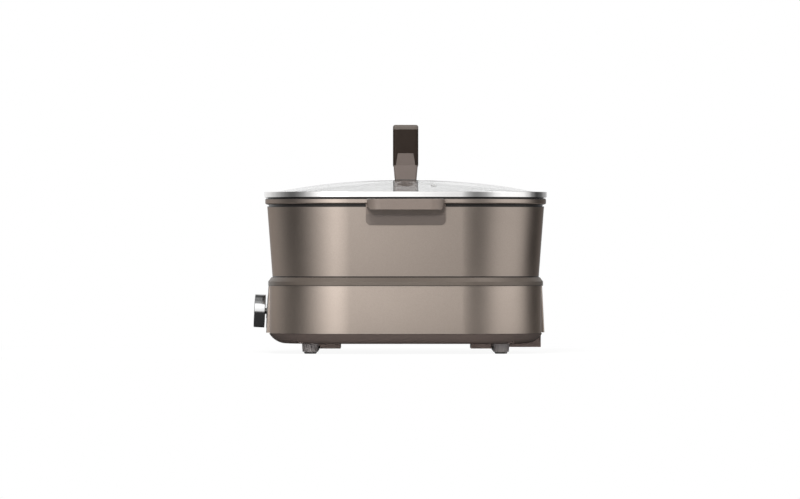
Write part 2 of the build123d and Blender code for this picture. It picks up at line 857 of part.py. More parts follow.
def knob_ring():
    """The chromed sleeve of the knob."""
    ring = rod(knob_radius, knob_back, knob_front)
    ring -= rod(knob_radius - knob_ring_wall, knob_back, knob_front)
    ring = chamfer(ring.edges().group_by(Axis.Z)[-1], knob_ring_bevel)
    back_edge = ring.edges().group_by(Axis.Z)[0].sort_by(SortBy.RADIUS)[-1]
    return front * chamfer(back_edge, knob_ring_bevel)


def knob_face():
    """The metal disc let into the sleeve, with a pointer groove."""
    top = knob_front - knob_face_recess
    disc = Pos(0, 0, top - knob_face_thickness / 2) * Cylinder(
        knob_radius - knob_ring_wall - fit_gap, knob_face_thickness
    )
    pointer_y = knob_radius - knob_ring_wall - pointer_edge_gap - pointer_length / 2
    groove = Pos(0, pointer_y, top) * Box(pointer_width, pointer_length, 2 * pointer_depth)
    return front * (disc - groove)


def knob_core():
    """The moulded hub that carries sleeve and disc on the shaft."""
    top = knob_front - knob_face_recess - knob_face_thickness
    low = knob_back + knob_core_setback
    outer = knob_radius - knob_ring_wall - fit_gap
    hub = shaft_radius + knob_boss_wall
    core = rod(outer, low, top) - rod(outer - knob_core_skirt, low, top - knob_core_web)
    core += rod(hub, low, top)
    rib_length = outer - knob_core_skirt / 2 - shaft_radius - knob_boss_wall / 2
    rib_middle = shaft_radius + knob_boss_wall / 2 + rib_length / 2
    rib_height_here = top - low - knob_core_setback
    rib = Pos(rib_middle, 0, top - rib_height_here / 2) * Box(rib_length, knob_rib_wall, rib_height_here)
    for n in range(knob_rib_count):
        core += Rot(0, 0, n * 360 / knob_rib_count) * rib
    bore = rod(shaft_radius, 0, shaft_into_knob + fit_gap)
    bore -= Pos(0, 2 * shaft_radius - shaft_flat, 0) * Box(4 * shaft_radius, 2 * shaft_radius, 2 * knob_front)
    return front * (core - bore)


def control_shaft():
    """The shaft of the heat control, with a flat for the knob."""
    shaft = rod(shaft_radius, -control_seat - shaft_into_control, shaft_into_knob)
    flat = Pos(0, 2 * shaft_radius - shaft_flat, knob_back + shaft_into_knob) * Box(
        4 * shaft_radius, 2 * shaft_radius, 2 * shaft_into_knob
    )
    shaft = chamfer(shaft.edges().group_by(Axis.Z)[-1], shaft_flat / 2)
    return front * (shaft - flat)


def control_body():
    """The rotary heat control behind the shell, with its threaded bush."""
    body = Pos(0, 0, -control_seat - control_depth / 2) * Box(
        control_width, control_height, control_depth
    )
    body = chamfer(body.edges().filter_by(Axis.Z), control_bevel)
    body += rod(control_bush_radius, -control_seat - shaft_into_control, control_nut_thickness)
    bore_bottom = -control_seat - shaft_into_control - fit_gap
    body -= rod(shaft_radius + shaft_clearance, bore_bottom, control_nut_thickness)
    for x in (-control_tab_pitch, 0.0, control_tab_pitch):
        body += Pos(x, control_height / 4, -control_seat - control_depth) * Box(
            tab_width, tab_thickness, 2 * control_tab_height
        )
    return front * body


def control_nut():
    """The nut that clamps the control to shell and fascia."""
    nut = extrude(RegularPolygon(control_nut_flat / 2, 6, major_radius=False), control_nut_thickness)
    return front * (nut - rod(control_bush_radius, 0, control_nut_thickness))


def inlet_pin_places():
    """Three flat pins: two in a row and the earth pin offset."""
    return [(-pin_spacing / 2, -pin_offset), (pin_spacing / 2, -pin_offset), (0, pin_offset)]


def inlet_socket():
    """The moulded mains inlet, held to the rear fascia by two screws."""
    body = Pos(0, 0, -inlet_body_depth / 2) * Box(
        inlet_body_width, inlet_body_height, inlet_body_depth
    )
    flange = extrude(inlet_flange_outline(0), inlet_flange_thickness)
    flange = Pos(0, 0, -inlet_flange_sunk) * flange
    flange = fillet(flange.edges().group_by(Axis.Z)[-1], inlet_flange_proud * 0.9)
    mouth = Rectangle(inlet_mouth_width, inlet_mouth_height)
    mouth = chamfer(mouth.vertices().group_by(Axis.Y)[-1], inlet_mouth_bevel)
    mouth_low = inlet_flange_proud - inlet_mouth_depth
    body = body + flange - Pos(0, 0, mouth_low) * extrude(mouth, inlet_mouth_depth)
    for x, y in inlet_pin_places():
        body -= Pos(x, y, -inlet_body_depth) * Box(pin_width, pin_height, 2 * inlet_body_depth)
    seat = inlet_flange_proud - inlet_screw_head_height
    for side in (-1, 1):
        x = side * inlet_screw_spacing / 2
        body -= rod(inlet_screw_radius + fit_gap, -inlet_flange_sunk, inlet_flange_proud, x)
        body -= rod(inlet_screw_head_radius + fit_gap, seat, inlet_flange_proud, x)
    return rear * body


def inlet_pins():
    """The three pins, with solder tails behind."""
    low = -inlet_body_depth - pin_tail
    high = inlet_flange_proud - pin_recess
    pins = []
    for x, y in inlet_pin_places():
        pin = Pos(x, y, (low + high) / 2) * Box(pin_width, pin_height, high - low)
        pins.append(rear * chamfer(pin.edges().group_by(Axis.Z)[-1], pin_bevel))
    return pins


def inlet_screws():
    """Two screws let into the flange of the inlet."""
    screw = slotted_screw(
        inlet_screw_radius, inlet_screw_length, inlet_screw_head_radius, inlet_screw_head_height
    )
    seat = inlet_flange_proud - inlet_screw_head_height
    return [rear * Pos(side * inlet_screw_spacing / 2, 0, seat) * screw for side in (-1, 1)]


# ---- Thermal cutout, lamp holder, earth tab and wiring ----


def cutout_screw_places():
    """The two screws beside the thermal cutout."""
    return [(cutout_x + side * cutout_screw_spacing / 2, cutout_y) for side in (-1, 1)]


def thermal_cutout():
    """The round cutout that lies against the tray from below, with two ears and two tabs."""
    seat = tray_floor - tray_sheet
    low = seat - cutout_ear_thickness - cutout_height
    ears = SlotOverall(cutout_screw_spacing + cutout_ear_width, cutout_ear_width)
    ears = Pos(cutout_x, cutout_y, seat) * extrude(ears, cutout_ear_thickness, dir=(0, 0, -1))
    body = ears + rod(cutout_radius, low, seat - cutout_ear_thickness, cutout_x, cutout_y)
    for x, y in cutout_screw_places():
        body -= rod(cutout_screw_radius, seat - cutout_ear_thickness, seat, x, y)
    tab_span = 2 * (cutout_radius + tab_height)
    return body + Pos(cutout_x, cutout_y, cutout_tab_z) * Box(tab_width, tab_span, tab_thickness)


def cutout_screws():
    """Two screws down through the tray into the ears of the cutout."""
    screw = slotted_screw(
        cutout_screw_radius, cutout_screw_length, cutout_screw_head_radius, cutout_screw_head_height
    )
    return [Pos(x, y, tray_floor) * screw for x, y in cutout_screw_places()]


def lamp_holder():
    """The small moulded holder of the indicator lamp, clipped over the neck of its window."""
    neck_radius = indicator_radius + lamp_holder_wall
    neck_top = -panel_edge - (shell_top - knob_z) * lean_slope - fit_gap - neck_radius * lean_slope
    holder = rod(lamp_holder_radius, -control_seat - lamp_holder_length, -control_seat)
    holder = chamfer(holder.edges().group_by(Axis.Z)[0], lamp_holder_wall)
    holder += rod(neck_radius, -control_seat - fit_gap, neck_top)
    holder -= rod(indicator_radius + fit_gap, -control_seat - lamp_holder_wall, neck_top)
    return front * Pos(-indicator_x, 0, 0) * holder


def earth_tab():
    """The bent spade riveted to the underside of the tray."""
    seat = tray_floor - tray_sheet
    plate_length = earth_tab_reach + tab_width
    plate_y = earth_tab_y + earth_tab_reach - plate_length / 2
    plate = Pos(earth_tab_x, plate_y, seat - tab_thickness / 2) * Box(
        tab_width, plate_length, tab_thickness
    )
    tab_y = earth_tab_y + earth_tab_reach - tab_thickness / 2
    tab = Pos(earth_tab_x, tab_y, seat - tab_height / 2) * Box(tab_width, tab_thickness, tab_height)
    rivet = rod(cutout_screw_radius, seat - tab_thickness, tray_floor, earth_tab_x, earth_tab_y)
    head = rod(2 * cutout_screw_radius, tray_floor, tray_floor + rivet_head_height, earth_tab_x, earth_tab_y)
    return plate + tab + rivet + head


def sleeve(width, thickness):
    """A receptacle over a flat tab; its mouth is at z = 0 and its closed back lies below."""
    wall = fit_gap + sleeve_wall
    shell = Pos(0, 0, -sleeve_length / 2) * Box(width + 2 * wall, thickness + 2 * wall, sleeve_length)
    hollow = Box(width + 2 * fit_gap, thickness + 2 * fit_gap, sleeve_grip)
    return shell - Pos(0, 0, -sleeve_grip / 2) * hollow


def wire(start, start_sleeve, start_lead, middle, end, end_sleeve, end_lead):
    """A wire with a sleeve at both ends; each place has its z pointing into its tab."""
    start_back = (start * Pos(0, 0, -(sleeve_length + sleeve_grip) / 2)).position
    start_turn = (start * Pos(0, 0, -sleeve_length - start_lead)).position
    end_back = (end * Pos(0, 0, -(sleeve_length + sleeve_grip) / 2)).position
    end_turn = (end * Pos(0, 0, -sleeve_length - end_lead)).position
    path = FilletPolyline(start_back, start_turn, *middle, end_turn, end_back, radius=wire_bend)
    tube = sweep(Plane(origin=path @ 0, z_dir=path % 0) * Circle(wire_radius), path=path)
    return tube + start * start_sleeve + end * end_sleeve


def inlet_tail(x, y):
    """Where a sleeve sits on the tail of an inlet pin."""
    return rear.location * Pos(x, y, -inlet_body_depth - pin_tail + sleeve_grip)


def control_tab(x):
    """Where a sleeve sits on a tab of the heat control."""
    tip = -control_seat - control_depth - control_tab_height
    return front.location * Pos(x, control_height / 4, tip + sleeve_grip)


def heater_tab(side):
    """Where a sleeve sits on a tab of the heating tube."""
    return Location((side * heater_terminal_x, -heater_half_y, heater_tab_tip + sleeve_grip))


def cutout_tab(side):
    """Where a sleeve sits on a tab of the thermal cutout."""
    mouth_y = cutout_y + side * (cutout_radius + tab_height - sleeve_grip)
    return Plane(origin=(cutout_x, mouth_y, cutout_tab_z), x_dir=(1, 0, 0), z_dir=(0, -side, 0)).location


def live_wires():
    """Inlet to heat control, heat control to thermal cutout, cutout to heating tube."""
    pin, tab = sleeve(pin_width, pin_height), sleeve(tab_width, tab_thickness)
    pin_x, pin_y = inlet_pin_places()[0]
    supply_turns = [(wire_side, wire_turn_y, wire_height), (wire_side, -wire_turn_y, wire_height)]
    supply = wire(inlet_tail(pin_x, pin_y), pin, wire_lead, supply_turns, control_tab(0), tab, wire_lead)
    switched = wire(control_tab(control_tab_pitch), tab, wire_lead, [], cutout_tab(-1), tab, wire_lead)
    heater_turns = [
        (cutout_x - wire_lead, cutout_y + wire_side, wire_low),
        (heater_terminal_x, cutout_y / 2, wire_low),
    ]
    to_heater = wire(cutout_tab(1), tab, wire_lead, heater_turns, heater_tab(1), tab, wire_short_lead)
    return [supply, switched, to_heater]


def neutral_wire():
    """Inlet to the other end of the heating tube."""
    pin_x, pin_y = inlet_pin_places()[1]
    turns = [(-wire_side, wire_turn_y, wire_height), (-wire_side, cutout_y, wire_low)]
    tail, tab = sleeve(pin_width, pin_height), sleeve(tab_width, tab_thickness)
    return wire(inlet_tail(pin_x, pin_y), tail, wire_lead, turns, heater_tab(-1), tab, wire_short_lead)


def earth_wire():
    """Inlet to the tray."""
    pin_x, pin_y = inlet_pin_places()[2]
    tab_y = earth_tab_y + earth_tab_reach - tab_thickness / 2
    end = Location((earth_tab_x, tab_y, earth_tab_tip + sleeve_grip))
    back_z = earth_tab_tip + sleeve_grip - sleeve_length - wire_short_lead
    turns = [(earth_tab_x, tab_y + 2 * wire_lead, back_z)]
    tail, tab = sleeve(pin_width, pin_height), sleeve(tab_width, tab_thickness)
    return wire(inlet_tail(pin_x, pin_y), tail, wire_lead, turns, end, tab, wire_short_lead)


# ---- Pot and its side grips ----


def wall_x(z):
    """Outer face of the pot's end wall at height z."""
    return length / 2 + pot_grow_top - (flange_bottom - z) * draft_slope


flange_x = length / 2 + flange_grow
ear_top = flange_bottom + ear_thickness


def pot_body():
    """The cast pot with its flange, sealing bead and the two ears that carry the grips."""
    outer = drafted_block(pot_grow_top, pot_bottom, flange_bottom, pot_draft)
    outer = fillet(outer.edges().group_by(Axis.Z)[0], pot_bottom_radius)
    flange = block(flange_grow, flange_bottom, flange_top)
    flange = fillet(flange.edges().group_by(Axis.Z)[-1], flange_round)
    flange = fillet(flange.edges().group_by(Axis.Z)[0], flange_round)
    bead = block(mouth_grow + bead_width, flange_top - bead_height, lid_seat)
    groove = block(flange_grow, flange_bottom - groove_height, flange_bottom)
    groove -= block(pot_grow_top - groove_depth, flange_bottom - groove_height, flange_bottom)
    inner = drafted_block(mouth_grow, pot_bottom + pot_floor_thickness, lid_seat, pot_draft)
    inner = fillet(inner.edges().group_by(Axis.Z)[0], pot_inner_radius)
    pot = outer - groove + flange + bead - inner
    for side in (-1, 1):
        ear_middle = flange_x + (ear_reach - ear_root) / 2
        pot += Pos(side * ear_middle, 0, flange_bottom + ear_thickness / 2) * Box(
            ear_reach + ear_root, ear_width, ear_thickness
        )
        for y in (-grip_screw_spacing / 2, grip_screw_spacing / 2):
            pot -= rod(grip_screw_radius, flange_bottom, ear_top, side * grip_screw_x, y)
    return pot


grip_screw_x = flange_x + grip_screw_setback


def pot_grip(side):
    """A moulded side grip: a ledge for the fingers and a plate down the pot's wall."""
    top = flange_top - grip_top_drop
    lip_low = top - grip_top_thickness - grip_lip_drop
    under = top - grip_top_thickness
    outer = flange_x + grip_reach
    plate_low = flange_top - grip_plate_bottom_drop

    def wall(z, gap):
        return wall_x(z) + gap

    ledge_profile = Plane.XZ * Polyline(
        (flange_x + fit_gap, top),
        (outer, top),
        (outer, lip_low),
        (outer - grip_lip_thickness, lip_low),
        (outer - grip_lip_thickness - grip_lip_slope, under),
        (wall(under, fit_gap), under),
        (wall(flange_bottom, fit_gap), flange_bottom - fit_gap),
        (flange_x + fit_gap, flange_bottom - fit_gap),
        close=True,
    )
    ledge = extrude(make_face(ledge_profile), grip_width / 2, both=True)
    plan_length = 2 * (grip_reach + grip_corner_radius)
    plan = Pos(outer - plan_length / 2, 0, lip_low) * RectangleRounded(
        plan_length, grip_width, grip_corner_radius
    )
    ledge &= extrude(plan, top - lip_low)
    upper_edges = ledge.edges().group_by(Axis.Z)[-1]
    outer_edges = upper_edges.filter_by(lambda edge: edge.center().X > flange_x + fit_gap)
    ledge = fillet(outer_edges, grip_edge_round)

    plate_profile = Plane.XZ * Polyline(
        (wall(plate_low, fit_gap), plate_low),
        (wall(plate_low, grip_plate_thickness), plate_low),
        (wall(flange_bottom, grip_plate_thickness), flange_bottom - fit_gap),
        (wall(flange_bottom, fit_gap), flange_bottom - fit_gap),
        close=True,
    )
    plate = extrude(make_face(plate_profile), grip_plate_width / 2, both=True)
    plate_height = 2 * grip_plate_bottom_drop
    front_shape = Plane.YZ * Pos(0, plate_low + plate_height / 2) * RectangleRounded(
        grip_plate_width, plate_height, plate_corner_radius
    )
    plate &= extrude(front_shape, length)
    grip = ledge + plate

    pocket = Pos(flange_x + ear_reach / 2, 0, flange_bottom + ear_thickness / 2) * Box(
        ear_reach + 2 * fit_gap, ear_width + 2 * fit_gap, ear_thickness + 2 * fit_gap
    )
    grip -= pocket
    for y in (-grip_screw_spacing / 2, grip_screw_spacing / 2):
        grip -= rod(grip_screw_radius + fit_gap, under, flange_bottom, grip_screw_x, y)
        grip -= rod(grip_screw_radius, ear_top, ear_top + grip_screw_bite + fit_gap, grip_screw_x, y)
        head_hole = grip_screw_head_radius + grip_screw_slack
        grip -= rod(head_hole, under, under + grip_screw_head_height, grip_screw_x, y)
    return grip if side > 0 else mirror(grip, Plane.YZ)


def grip_screws():
    """Four screws up through the grips into the ears."""
    under = flange_top - grip_top_drop - grip_top_thickness
    seat = under + grip_screw_head_height
    shank = ear_top + grip_screw_bite - seat
    screw = Rot(180, 0, 0) * slotted_screw(
        grip_screw_radius, shank, grip_screw_head_radius, grip_screw_head_height - fit_gap
    )
    return [
        Pos(side * grip_screw_x, y, seat) * screw
        for side in (-1, 1)
        for y in (-grip_screw_spacing / 2, grip_screw_spacing / 2)
    ]


# ---- Lid ----

# Contours of the glass dome: share of the rise, share of the half depth, extra half length beyond
# an even border, and share of the edge's corner radius. The glass falls steadily towards its ends.
dome_edge_half = depth / 2 + glass_grow - dome_start_inset
dome_contours = [
    (0.000, 1.000, 0.0, 1.00),
    (0.155, 0.920, -3.5, 0.90),
    (0.315, 0.838, -7.5, 0.78),
    (0.550, 0.700, -10.5, 0.62),
    (0.780, 0.520, -8.5, 0.46),
    (0.930, 0.340, 1.0, 0.33),
    (1.000, 0.165, 16.0, 0.22),
]


def dome(base_z):
    """The curved part of the glass, from its flat edge up to the flat in the middle."""
    side_difference = (length - depth) / 2
    edge_corner = corner + glass_grow - dome_start_inset
    sections = []
    for rise, depth_share, extra, corner_share in dome_contours:
        half_depth = dome_edge_half * depth_share
        half_length = half_depth + side_difference + extra
        radius = min(edge_corner * corner_share, half_depth - fit_gap)
        contour = RectangleRounded(2 * half_length, 2 * half_depth, radius)
        sections.append(Pos(0, 0, base_z + dome_rise * rise) * contour)
    return loft(sections)


def lid_glass():
    """Tempered glass: a domed sheet with a flat edge, two screw holes and the steam hole."""
    flat_low = glass_top - glass_thickness
    glass = block(glass_grow, flat_low, glass_top) + dome(glass_top)
    glass -= dome(flat_low)
    for side in (-1, 1):
        glass -= rod(handle_screw_radius + glass_hole_slack, flat_low, handle_top, side * handle_foot_x)
    return glass - vent_plane() * Cylinder(vent_eyelet_radius + fit_gap, 6 * glass_thickness)


def vent_plane():
    """The place of the steam hole on the dome, with z along the glass's own normal."""
    upright = Axis((vent_x, vent_y, glass_top), (0, 0, 1))
    point, normal = dome(glass_top).find_intersection_points(upright)[-1]
    return Plane(origin=point, x_dir=(0, 1, 0), z_dir=normal)


def lid_rim():
    """The rolled steel rim that holds the glass and drops into the mouth of the pot."""
    rim = block(rim_grow, lid_seat, rim_top)
    rim = fillet(rim.edges().group_by(Axis.Z)[-1], rim_edge_round)
    rim -= block(rim_grow - rim_top_lip, glass_top - fit_gap, rim_top)
    rim -= block(glass_grow + fit_gap, glass_top - glass_thickness - fit_gap, glass_top)
    lip_inner = mouth_grow - rim_skirt_gap - rim_wall
    rim -= block(lip_inner, lid_seat, glass_top)
    skirt = block(lip_inner + rim_wall, lid_seat - rim_skirt_drop, lid_seat + rim_wall)
    skirt -= block(lip_inner, lid_seat - rim_skirt_drop, lid_seat + rim_wall)
    return rim + skirt


# The handle, seen from the front: the bar's ends lean inwards down to the ends of the legs.
leg_end_z = plateau_top + leg_end_height
bar_top = handle_top - cap_thickness
leg_outer_bottom = handle_length / 2 - leg_lean
handle_foot_x = leg_outer_bottom - leg_thickness / 2
foot_base_x = leg_outer_bottom - foot_base_length / 2
handle_screw_seat = plateau_top - glass_thickness - washer_thickness
handle_screw_tip = handle_screw_seat + handle_screw_length


def leg_outer_x(z):
    """Outer face of a leg at height z."""
    share = (z - leg_end_z) / (bar_top - leg_end_z)
    return leg_outer_bottom + leg_lean * share


def handle_grip():
    """The dark moulded arch, slotted at both ends for the tongues of the feet."""
    half = handle_length / 2
    bar_low = bar_top - grip_bar_thickness
    inner = leg_outer_bottom - leg_thickness
    inner_top = inner + leg_inner_draft
    profile = Plane.XZ * Polyline(
        (-half, bar_top),
        (-leg_outer_bottom, leg_end_z),
        (-inner, leg_end_z),
        (-inner_top, bar_low),
        (inner_top, bar_low),
        (inner, leg_end_z),
        (leg_outer_bottom, leg_end_z),
        (half, bar_top),
        close=True,
    )
    arch = extrude(make_face(profile), handle_width / 2, both=True)
    across = arch.edges().filter_by(Axis.Y)
    inner_corners = across.filter_by(lambda edge: abs(abs(edge.center().X) - inner_top) < fit_gap)
    arch = fillet(inner_corners, leg_round)

    def on_flank_outline(edge):
        middle = edge.center()
        on_flank = abs(abs(middle.Y) - handle_width / 2) < fit_gap
        return on_flank and abs(middle.X) > inner_top and leg_end_z + fit_gap < middle.Z < bar_top - fit_gap

    arch = fillet(arch.edges().filter_by(on_flank_outline), handle_round)
    for side in (-1, 1):
        arch -= handle_tongue(side, fit_gap)
        arch -= rod(handle_screw_radius, leg_end_z, handle_screw_tip, side * handle_foot_x)
    return arch


def handle_tongue(side, gap):
    """The tapered tongue of a foot; with a gap it is the slot that the arch has for it."""
    tip_z = leg_end_z + tongue_height + gap
    low_z = leg_end_z - tongue_sunk
    outline_yz = Plane.YZ * Polyline(
        (-tongue_bottom_width / 2 - gap, low_z),
        (tongue_bottom_width / 2 + gap, low_z),
        (tongue_top_width / 2 + gap, tip_z),
        (-tongue_top_width / 2 - gap, tip_z),
        close=True,
    )
    back_x = leg_outer_bottom - tongue_depth - gap
    reach = tongue_depth if gap else -tongue_sunk
    face = Plane.XZ * Polyline(
        (back_x, low_z),
        (leg_outer_x(low_z) + reach, low_z),
        (leg_outer_x(tip_z) + reach, tip_z),
        (back_x, tip_z),
        close=True,
    )
    tongue = Pos(back_x, 0, 0) * extrude(make_face(outline_yz), handle_width)
    tongue &= extrude(make_face(face), handle_width, both=True)
    return tongue if side > 0 else mirror(tongue, Plane.YZ)


def handle_foot(side):
    """A foot of the handle: it stands on the glass and its tongue goes up into the arch."""
    low = plateau_top + gasket_thickness
    top_face = Pos(handle_foot_x, 0, leg_end_z) * Rectangle(
        leg_thickness - 2 * tongue_sunk, handle_width - 2 * handle_foot_step
    )
    low_face = Pos(foot_base_x, 0, low) * Rectangle(foot_base_length, foot_base_width)
    body = loft([low_face, top_face])
    body = fillet(body.edges().filter_by(lambda edge: abs(edge.tangent_at(0.5).Z) > 0.5), handle_foot_round)
    foot = body + handle_tongue(1, 0.0)
    hole = rod(handle_screw_radius + handle_screw_slack, low, leg_end_z, handle_foot_x)
    foot -= hole
    return foot if side > 0 else mirror(foot, Plane.YZ)


def handle_cap():
    """The painted strip along the top of the handle."""
    half = handle_length / 2
    cap = Pos(0, 0, bar_top + cap_thickness / 2) * Box(2 * half, handle_width, cap_thickness)
    cap = fillet(cap.edges().filter_by(Axis.Z), handle_round)
    return fillet(cap.edges().group_by(Axis.Z)[-1], cap_edge_round)


def handle_gaskets():
    """Silicone pads between the feet and the glass."""
    pads = []
    for side in (-1, 1):
        shape = Pos(side * foot_base_x, 0, plateau_top) * RectangleRounded(
            foot_base_length, foot_base_width, handle_foot_round
        )
        pad = extrude(shape, gasket_thickness)
        pads.append(pad - rod(handle_screw_radius, 0, handle_top, side * handle_foot_x))
    return pads


def handle_washers():
    """Steel washers under the glass."""
    under = plateau_top - glass_thickness
    return [
        rod(washer_radius, under - washer_thickness, under, side * handle_foot_x)
        - rod(handle_screw_radius, 0, handle_top, side * handle_foot_x)
        for side in (-1, 1)
    ]


def handle_screws():
    """Two screws up through washer, glass and gasket into the feet."""
    screw = Rot(180, 0, 0) * slotted_screw(
        handle_screw_radius,
        handle_screw_length,
        handle_screw_head_radius,
        handle_screw_head_height,
    )
    return [Pos(side * handle_foot_x, 0, handle_screw_seat) * screw for side in (-1, 1)]


def vent_eyelet():
    """The steel eyelet of the steam hole, flanged on both sides of the glass."""
    low = -glass_thickness - vent_lip_thickness - fit_gap
    ring = rod(vent_eyelet_radius, low, vent_lip_thickness + fit_gap)
    upper = rod(vent_eyelet_radius + vent_lip, fit_gap, vent_lip_thickness + fit_gap)
    upper = fillet(upper.edges().group_by(Axis.Z)[-1], vent_lip_round)
    lower = rod(vent_eyelet_radius + vent_lip, low, low + vent_lip_thickness)
    hole = rod(vent_hole_radius, low, vent_lip_thickness + fit_gap)
    return vent_plane() * (ring + upper + lower - hole)


pieces = {
    "base_shell": base_shell(),
    "top_deck": top_deck(),
    "bottom_cover": bottom_cover(),
    "feet": feet(),
    "foot_pads": foot_pads(),
    "cover_screws": cover_screws(),
    "reflector_tray": reflector_tray(),
    "tray_screws": tray_screws(),
    "heating_tube": heating_tube(),
    "heater_bushes": heater_bushes(),
    "heater_tabs": heater_tabs(),
    "heater_saddles": heater_saddles(),
    "thermal_cutout": thermal_cutout(),
    "cutout_screws": cutout_screws(),
    "seat_pads": seat_pads(),
    "sensor_cup": sensor_cup(),
    "sensor_cap": sensor_cap(),
    "stem_clip": stem_clip(),
    "sensor_spring": sensor_spring(),
    "front_panel": front_panel(),
    "rear_panel": rear_panel(),
    "knob_bezel": knob_bezel(),
    "indicator_lens": indicator_lens(),
    "lamp_holder": lamp_holder(),
    "knob_ring": knob_ring(),
    "knob_face": knob_face(),
    "knob_core": knob_core(),
    "control_shaft": control_shaft(),
    "control_body": control_body(),
    "control_nut": control_nut(),
    "inlet_socket": inlet_socket(),
    "inlet_pins": inlet_pins(),
    "inlet_screws": inlet_screws(),
    "earth_tab": earth_tab(),
    "live_wires": live_wires(),
    "neutral_wire": neutral_wire(),
    "earth_wire": earth_wire(),
    "pot_body": pot_body(),
    "pot_grip_right": pot_grip(1),
    "pot_grip_left": pot_grip(-1),
    "grip_screws": grip_screws(),
    "lid_glass": lid_glass(),
    "lid_rim": lid_rim(),
    "vent_eyelet": vent_eyelet(),
    "handle_grip": handle_grip(),
    "handle_foot_right": handle_foot(1),
    "handle_foot_left": handle_foot(-1),
    "handle_cap": handle_cap(),
    "handle_gaskets": handle_gaskets(),
    "handle_washers": handle_washers(),
    "handle_screws": handle_screws(),
}
groups = {name: made if isinstance(made, list) else [made] for name, made in pieces.items()}
boxes = [solid.bounding_box() for group in groups.values() for solid in group]
frame_shift = -(min(box.min.Y for box in boxes) + max(box.max.Y for box in boxes)) / 2
os.makedirs("parts", exist_ok=True)
for name, group in groups.items():
    placed = [Pos(0, frame_shift, 0) * solid for solid in group]
    export_step(placed[0] if len(placed) == 1 else Compound(placed), f"parts/{name}.step")
print("moved along Y by", round(frame_shift, 3))
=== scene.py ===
import json
import math

import bmesh
import bpy
from mathutils import Matrix, Vector


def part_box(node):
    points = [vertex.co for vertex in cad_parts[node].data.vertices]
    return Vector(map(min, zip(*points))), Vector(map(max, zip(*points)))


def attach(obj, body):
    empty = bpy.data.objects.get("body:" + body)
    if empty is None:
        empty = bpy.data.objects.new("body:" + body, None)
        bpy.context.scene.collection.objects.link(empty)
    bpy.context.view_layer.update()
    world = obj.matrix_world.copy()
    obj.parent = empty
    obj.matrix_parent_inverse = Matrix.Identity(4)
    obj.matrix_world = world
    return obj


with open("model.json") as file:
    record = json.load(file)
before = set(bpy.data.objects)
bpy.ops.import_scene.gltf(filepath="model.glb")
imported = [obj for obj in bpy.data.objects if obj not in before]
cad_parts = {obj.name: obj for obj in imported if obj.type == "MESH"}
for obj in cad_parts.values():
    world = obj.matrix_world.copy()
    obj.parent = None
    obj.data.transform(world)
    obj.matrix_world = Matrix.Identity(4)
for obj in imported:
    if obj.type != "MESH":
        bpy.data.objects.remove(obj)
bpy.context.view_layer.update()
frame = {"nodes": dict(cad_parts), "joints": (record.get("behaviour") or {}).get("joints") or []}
nodes = frame["nodes"]


# ---- Camera ----
# It stands level with the pot, far out beyond the right grip, and looks along the length of the
# object. At that distance one pixel is one millimetre at the near ends of the straight sides.
photo_width = 800
pixel = 0.001
camera_distance = 9.0
camera_height = 0.1038
object_centre_in_photo = 405.65
film_width = 36.0
corner_radius = 0.082

pot_low, pot_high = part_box("pot_body")
deck_low, deck_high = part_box("top_deck")
middle_y = (pot_low.y + pot_high.y) / 2
corner_centre = (deck_high.x - corner_radius, (deck_high.y - deck_low.y) / 2 - corner_radius)
camera_data = bpy.data.cameras.new("camera")
camera_data.sensor_width = film_width
camera_data.lens = camera_data.sensor_width * camera_distance / (photo_width * pixel)
camera_data.clip_end = 2 * camera_distance
camera = bpy.data.objects.new("camera", camera_data)
camera_y = middle_y - (object_centre_in_photo - photo_width / 2) * pixel
camera.location = (corner_centre[0] + camera_distance, camera_y, camera_height)
camera.rotation_euler = (math.pi / 2, 0.0, math.pi / 2)
bpy.context.scene.collection.objects.link(camera)
bpy.context.scene.camera = camera
bpy.context.scene.view_settings.view_transform = "Standard"


# ---- Base shell ----
# A band of drawn steel sprayed with a taupe metallic lacquer. Under the clear coat lie fine
# flakes, the surface has a faint orange peel, and it is rubbed thin along its rims.
shell_colour = (0.415, 0.350, 0.304, 1.0)
lacquer_worn_colour = (0.53, 0.47, 0.42, 1.0)
lacquer_edge_tint = (0.52, 0.49, 0.47, 1.0)


def add_node(tree, kind, settings=None, **inputs):
    """Adds a node; an input is a plain value or a (node, output) pair, in0 is the first."""
    made = tree.nodes.new(kind)
    for name, value in (settings or {}).items():
        setattr(made, name, value)
    for name, value in inputs.items():
        place = int(name[2:]) if name[:2] == "in" and name[2:].isdigit() else name.replace("_", " ")
        if isinstance(value, tuple) and isinstance(value[0], bpy.types.Node):
            tree.links.new(value[0].outputs[value[1]], made.inputs[place])
        else:
            made.inputs[place].default_value = value
    return made


def add(tree, kind, settings=None, **inputs):
    """Adds a shader node."""
    return add_node(tree, "ShaderNode" + kind, settings, **inputs)


def effect(name, inputs, outputs):
    """A shader node group with its plain input values; returns it with its two end nodes."""
    group = bpy.data.node_groups.new(name, "ShaderNodeTree")
    for label, value in inputs.items():
        kind = "NodeSocketVector" if isinstance(value, tuple) else "NodeSocketFloat"
        socket = group.interface.new_socket(label, in_out="INPUT", socket_type=kind)
        socket.default_value = value
    for label in outputs:
        kind = "NodeSocketVector" if label == "Normal" else "NodeSocketFloat"
        group.interface.new_socket(label, in_out="OUTPUT", socket_type=kind)
    return group, group.nodes.new("NodeGroupInput"), group.nodes.new("NodeGroupOutput")


def give(group, target, label, source):
    """Leads a value to one of the outputs of an effect."""
    group.links.new(source[0].outputs[source[1]], target.inputs[label])


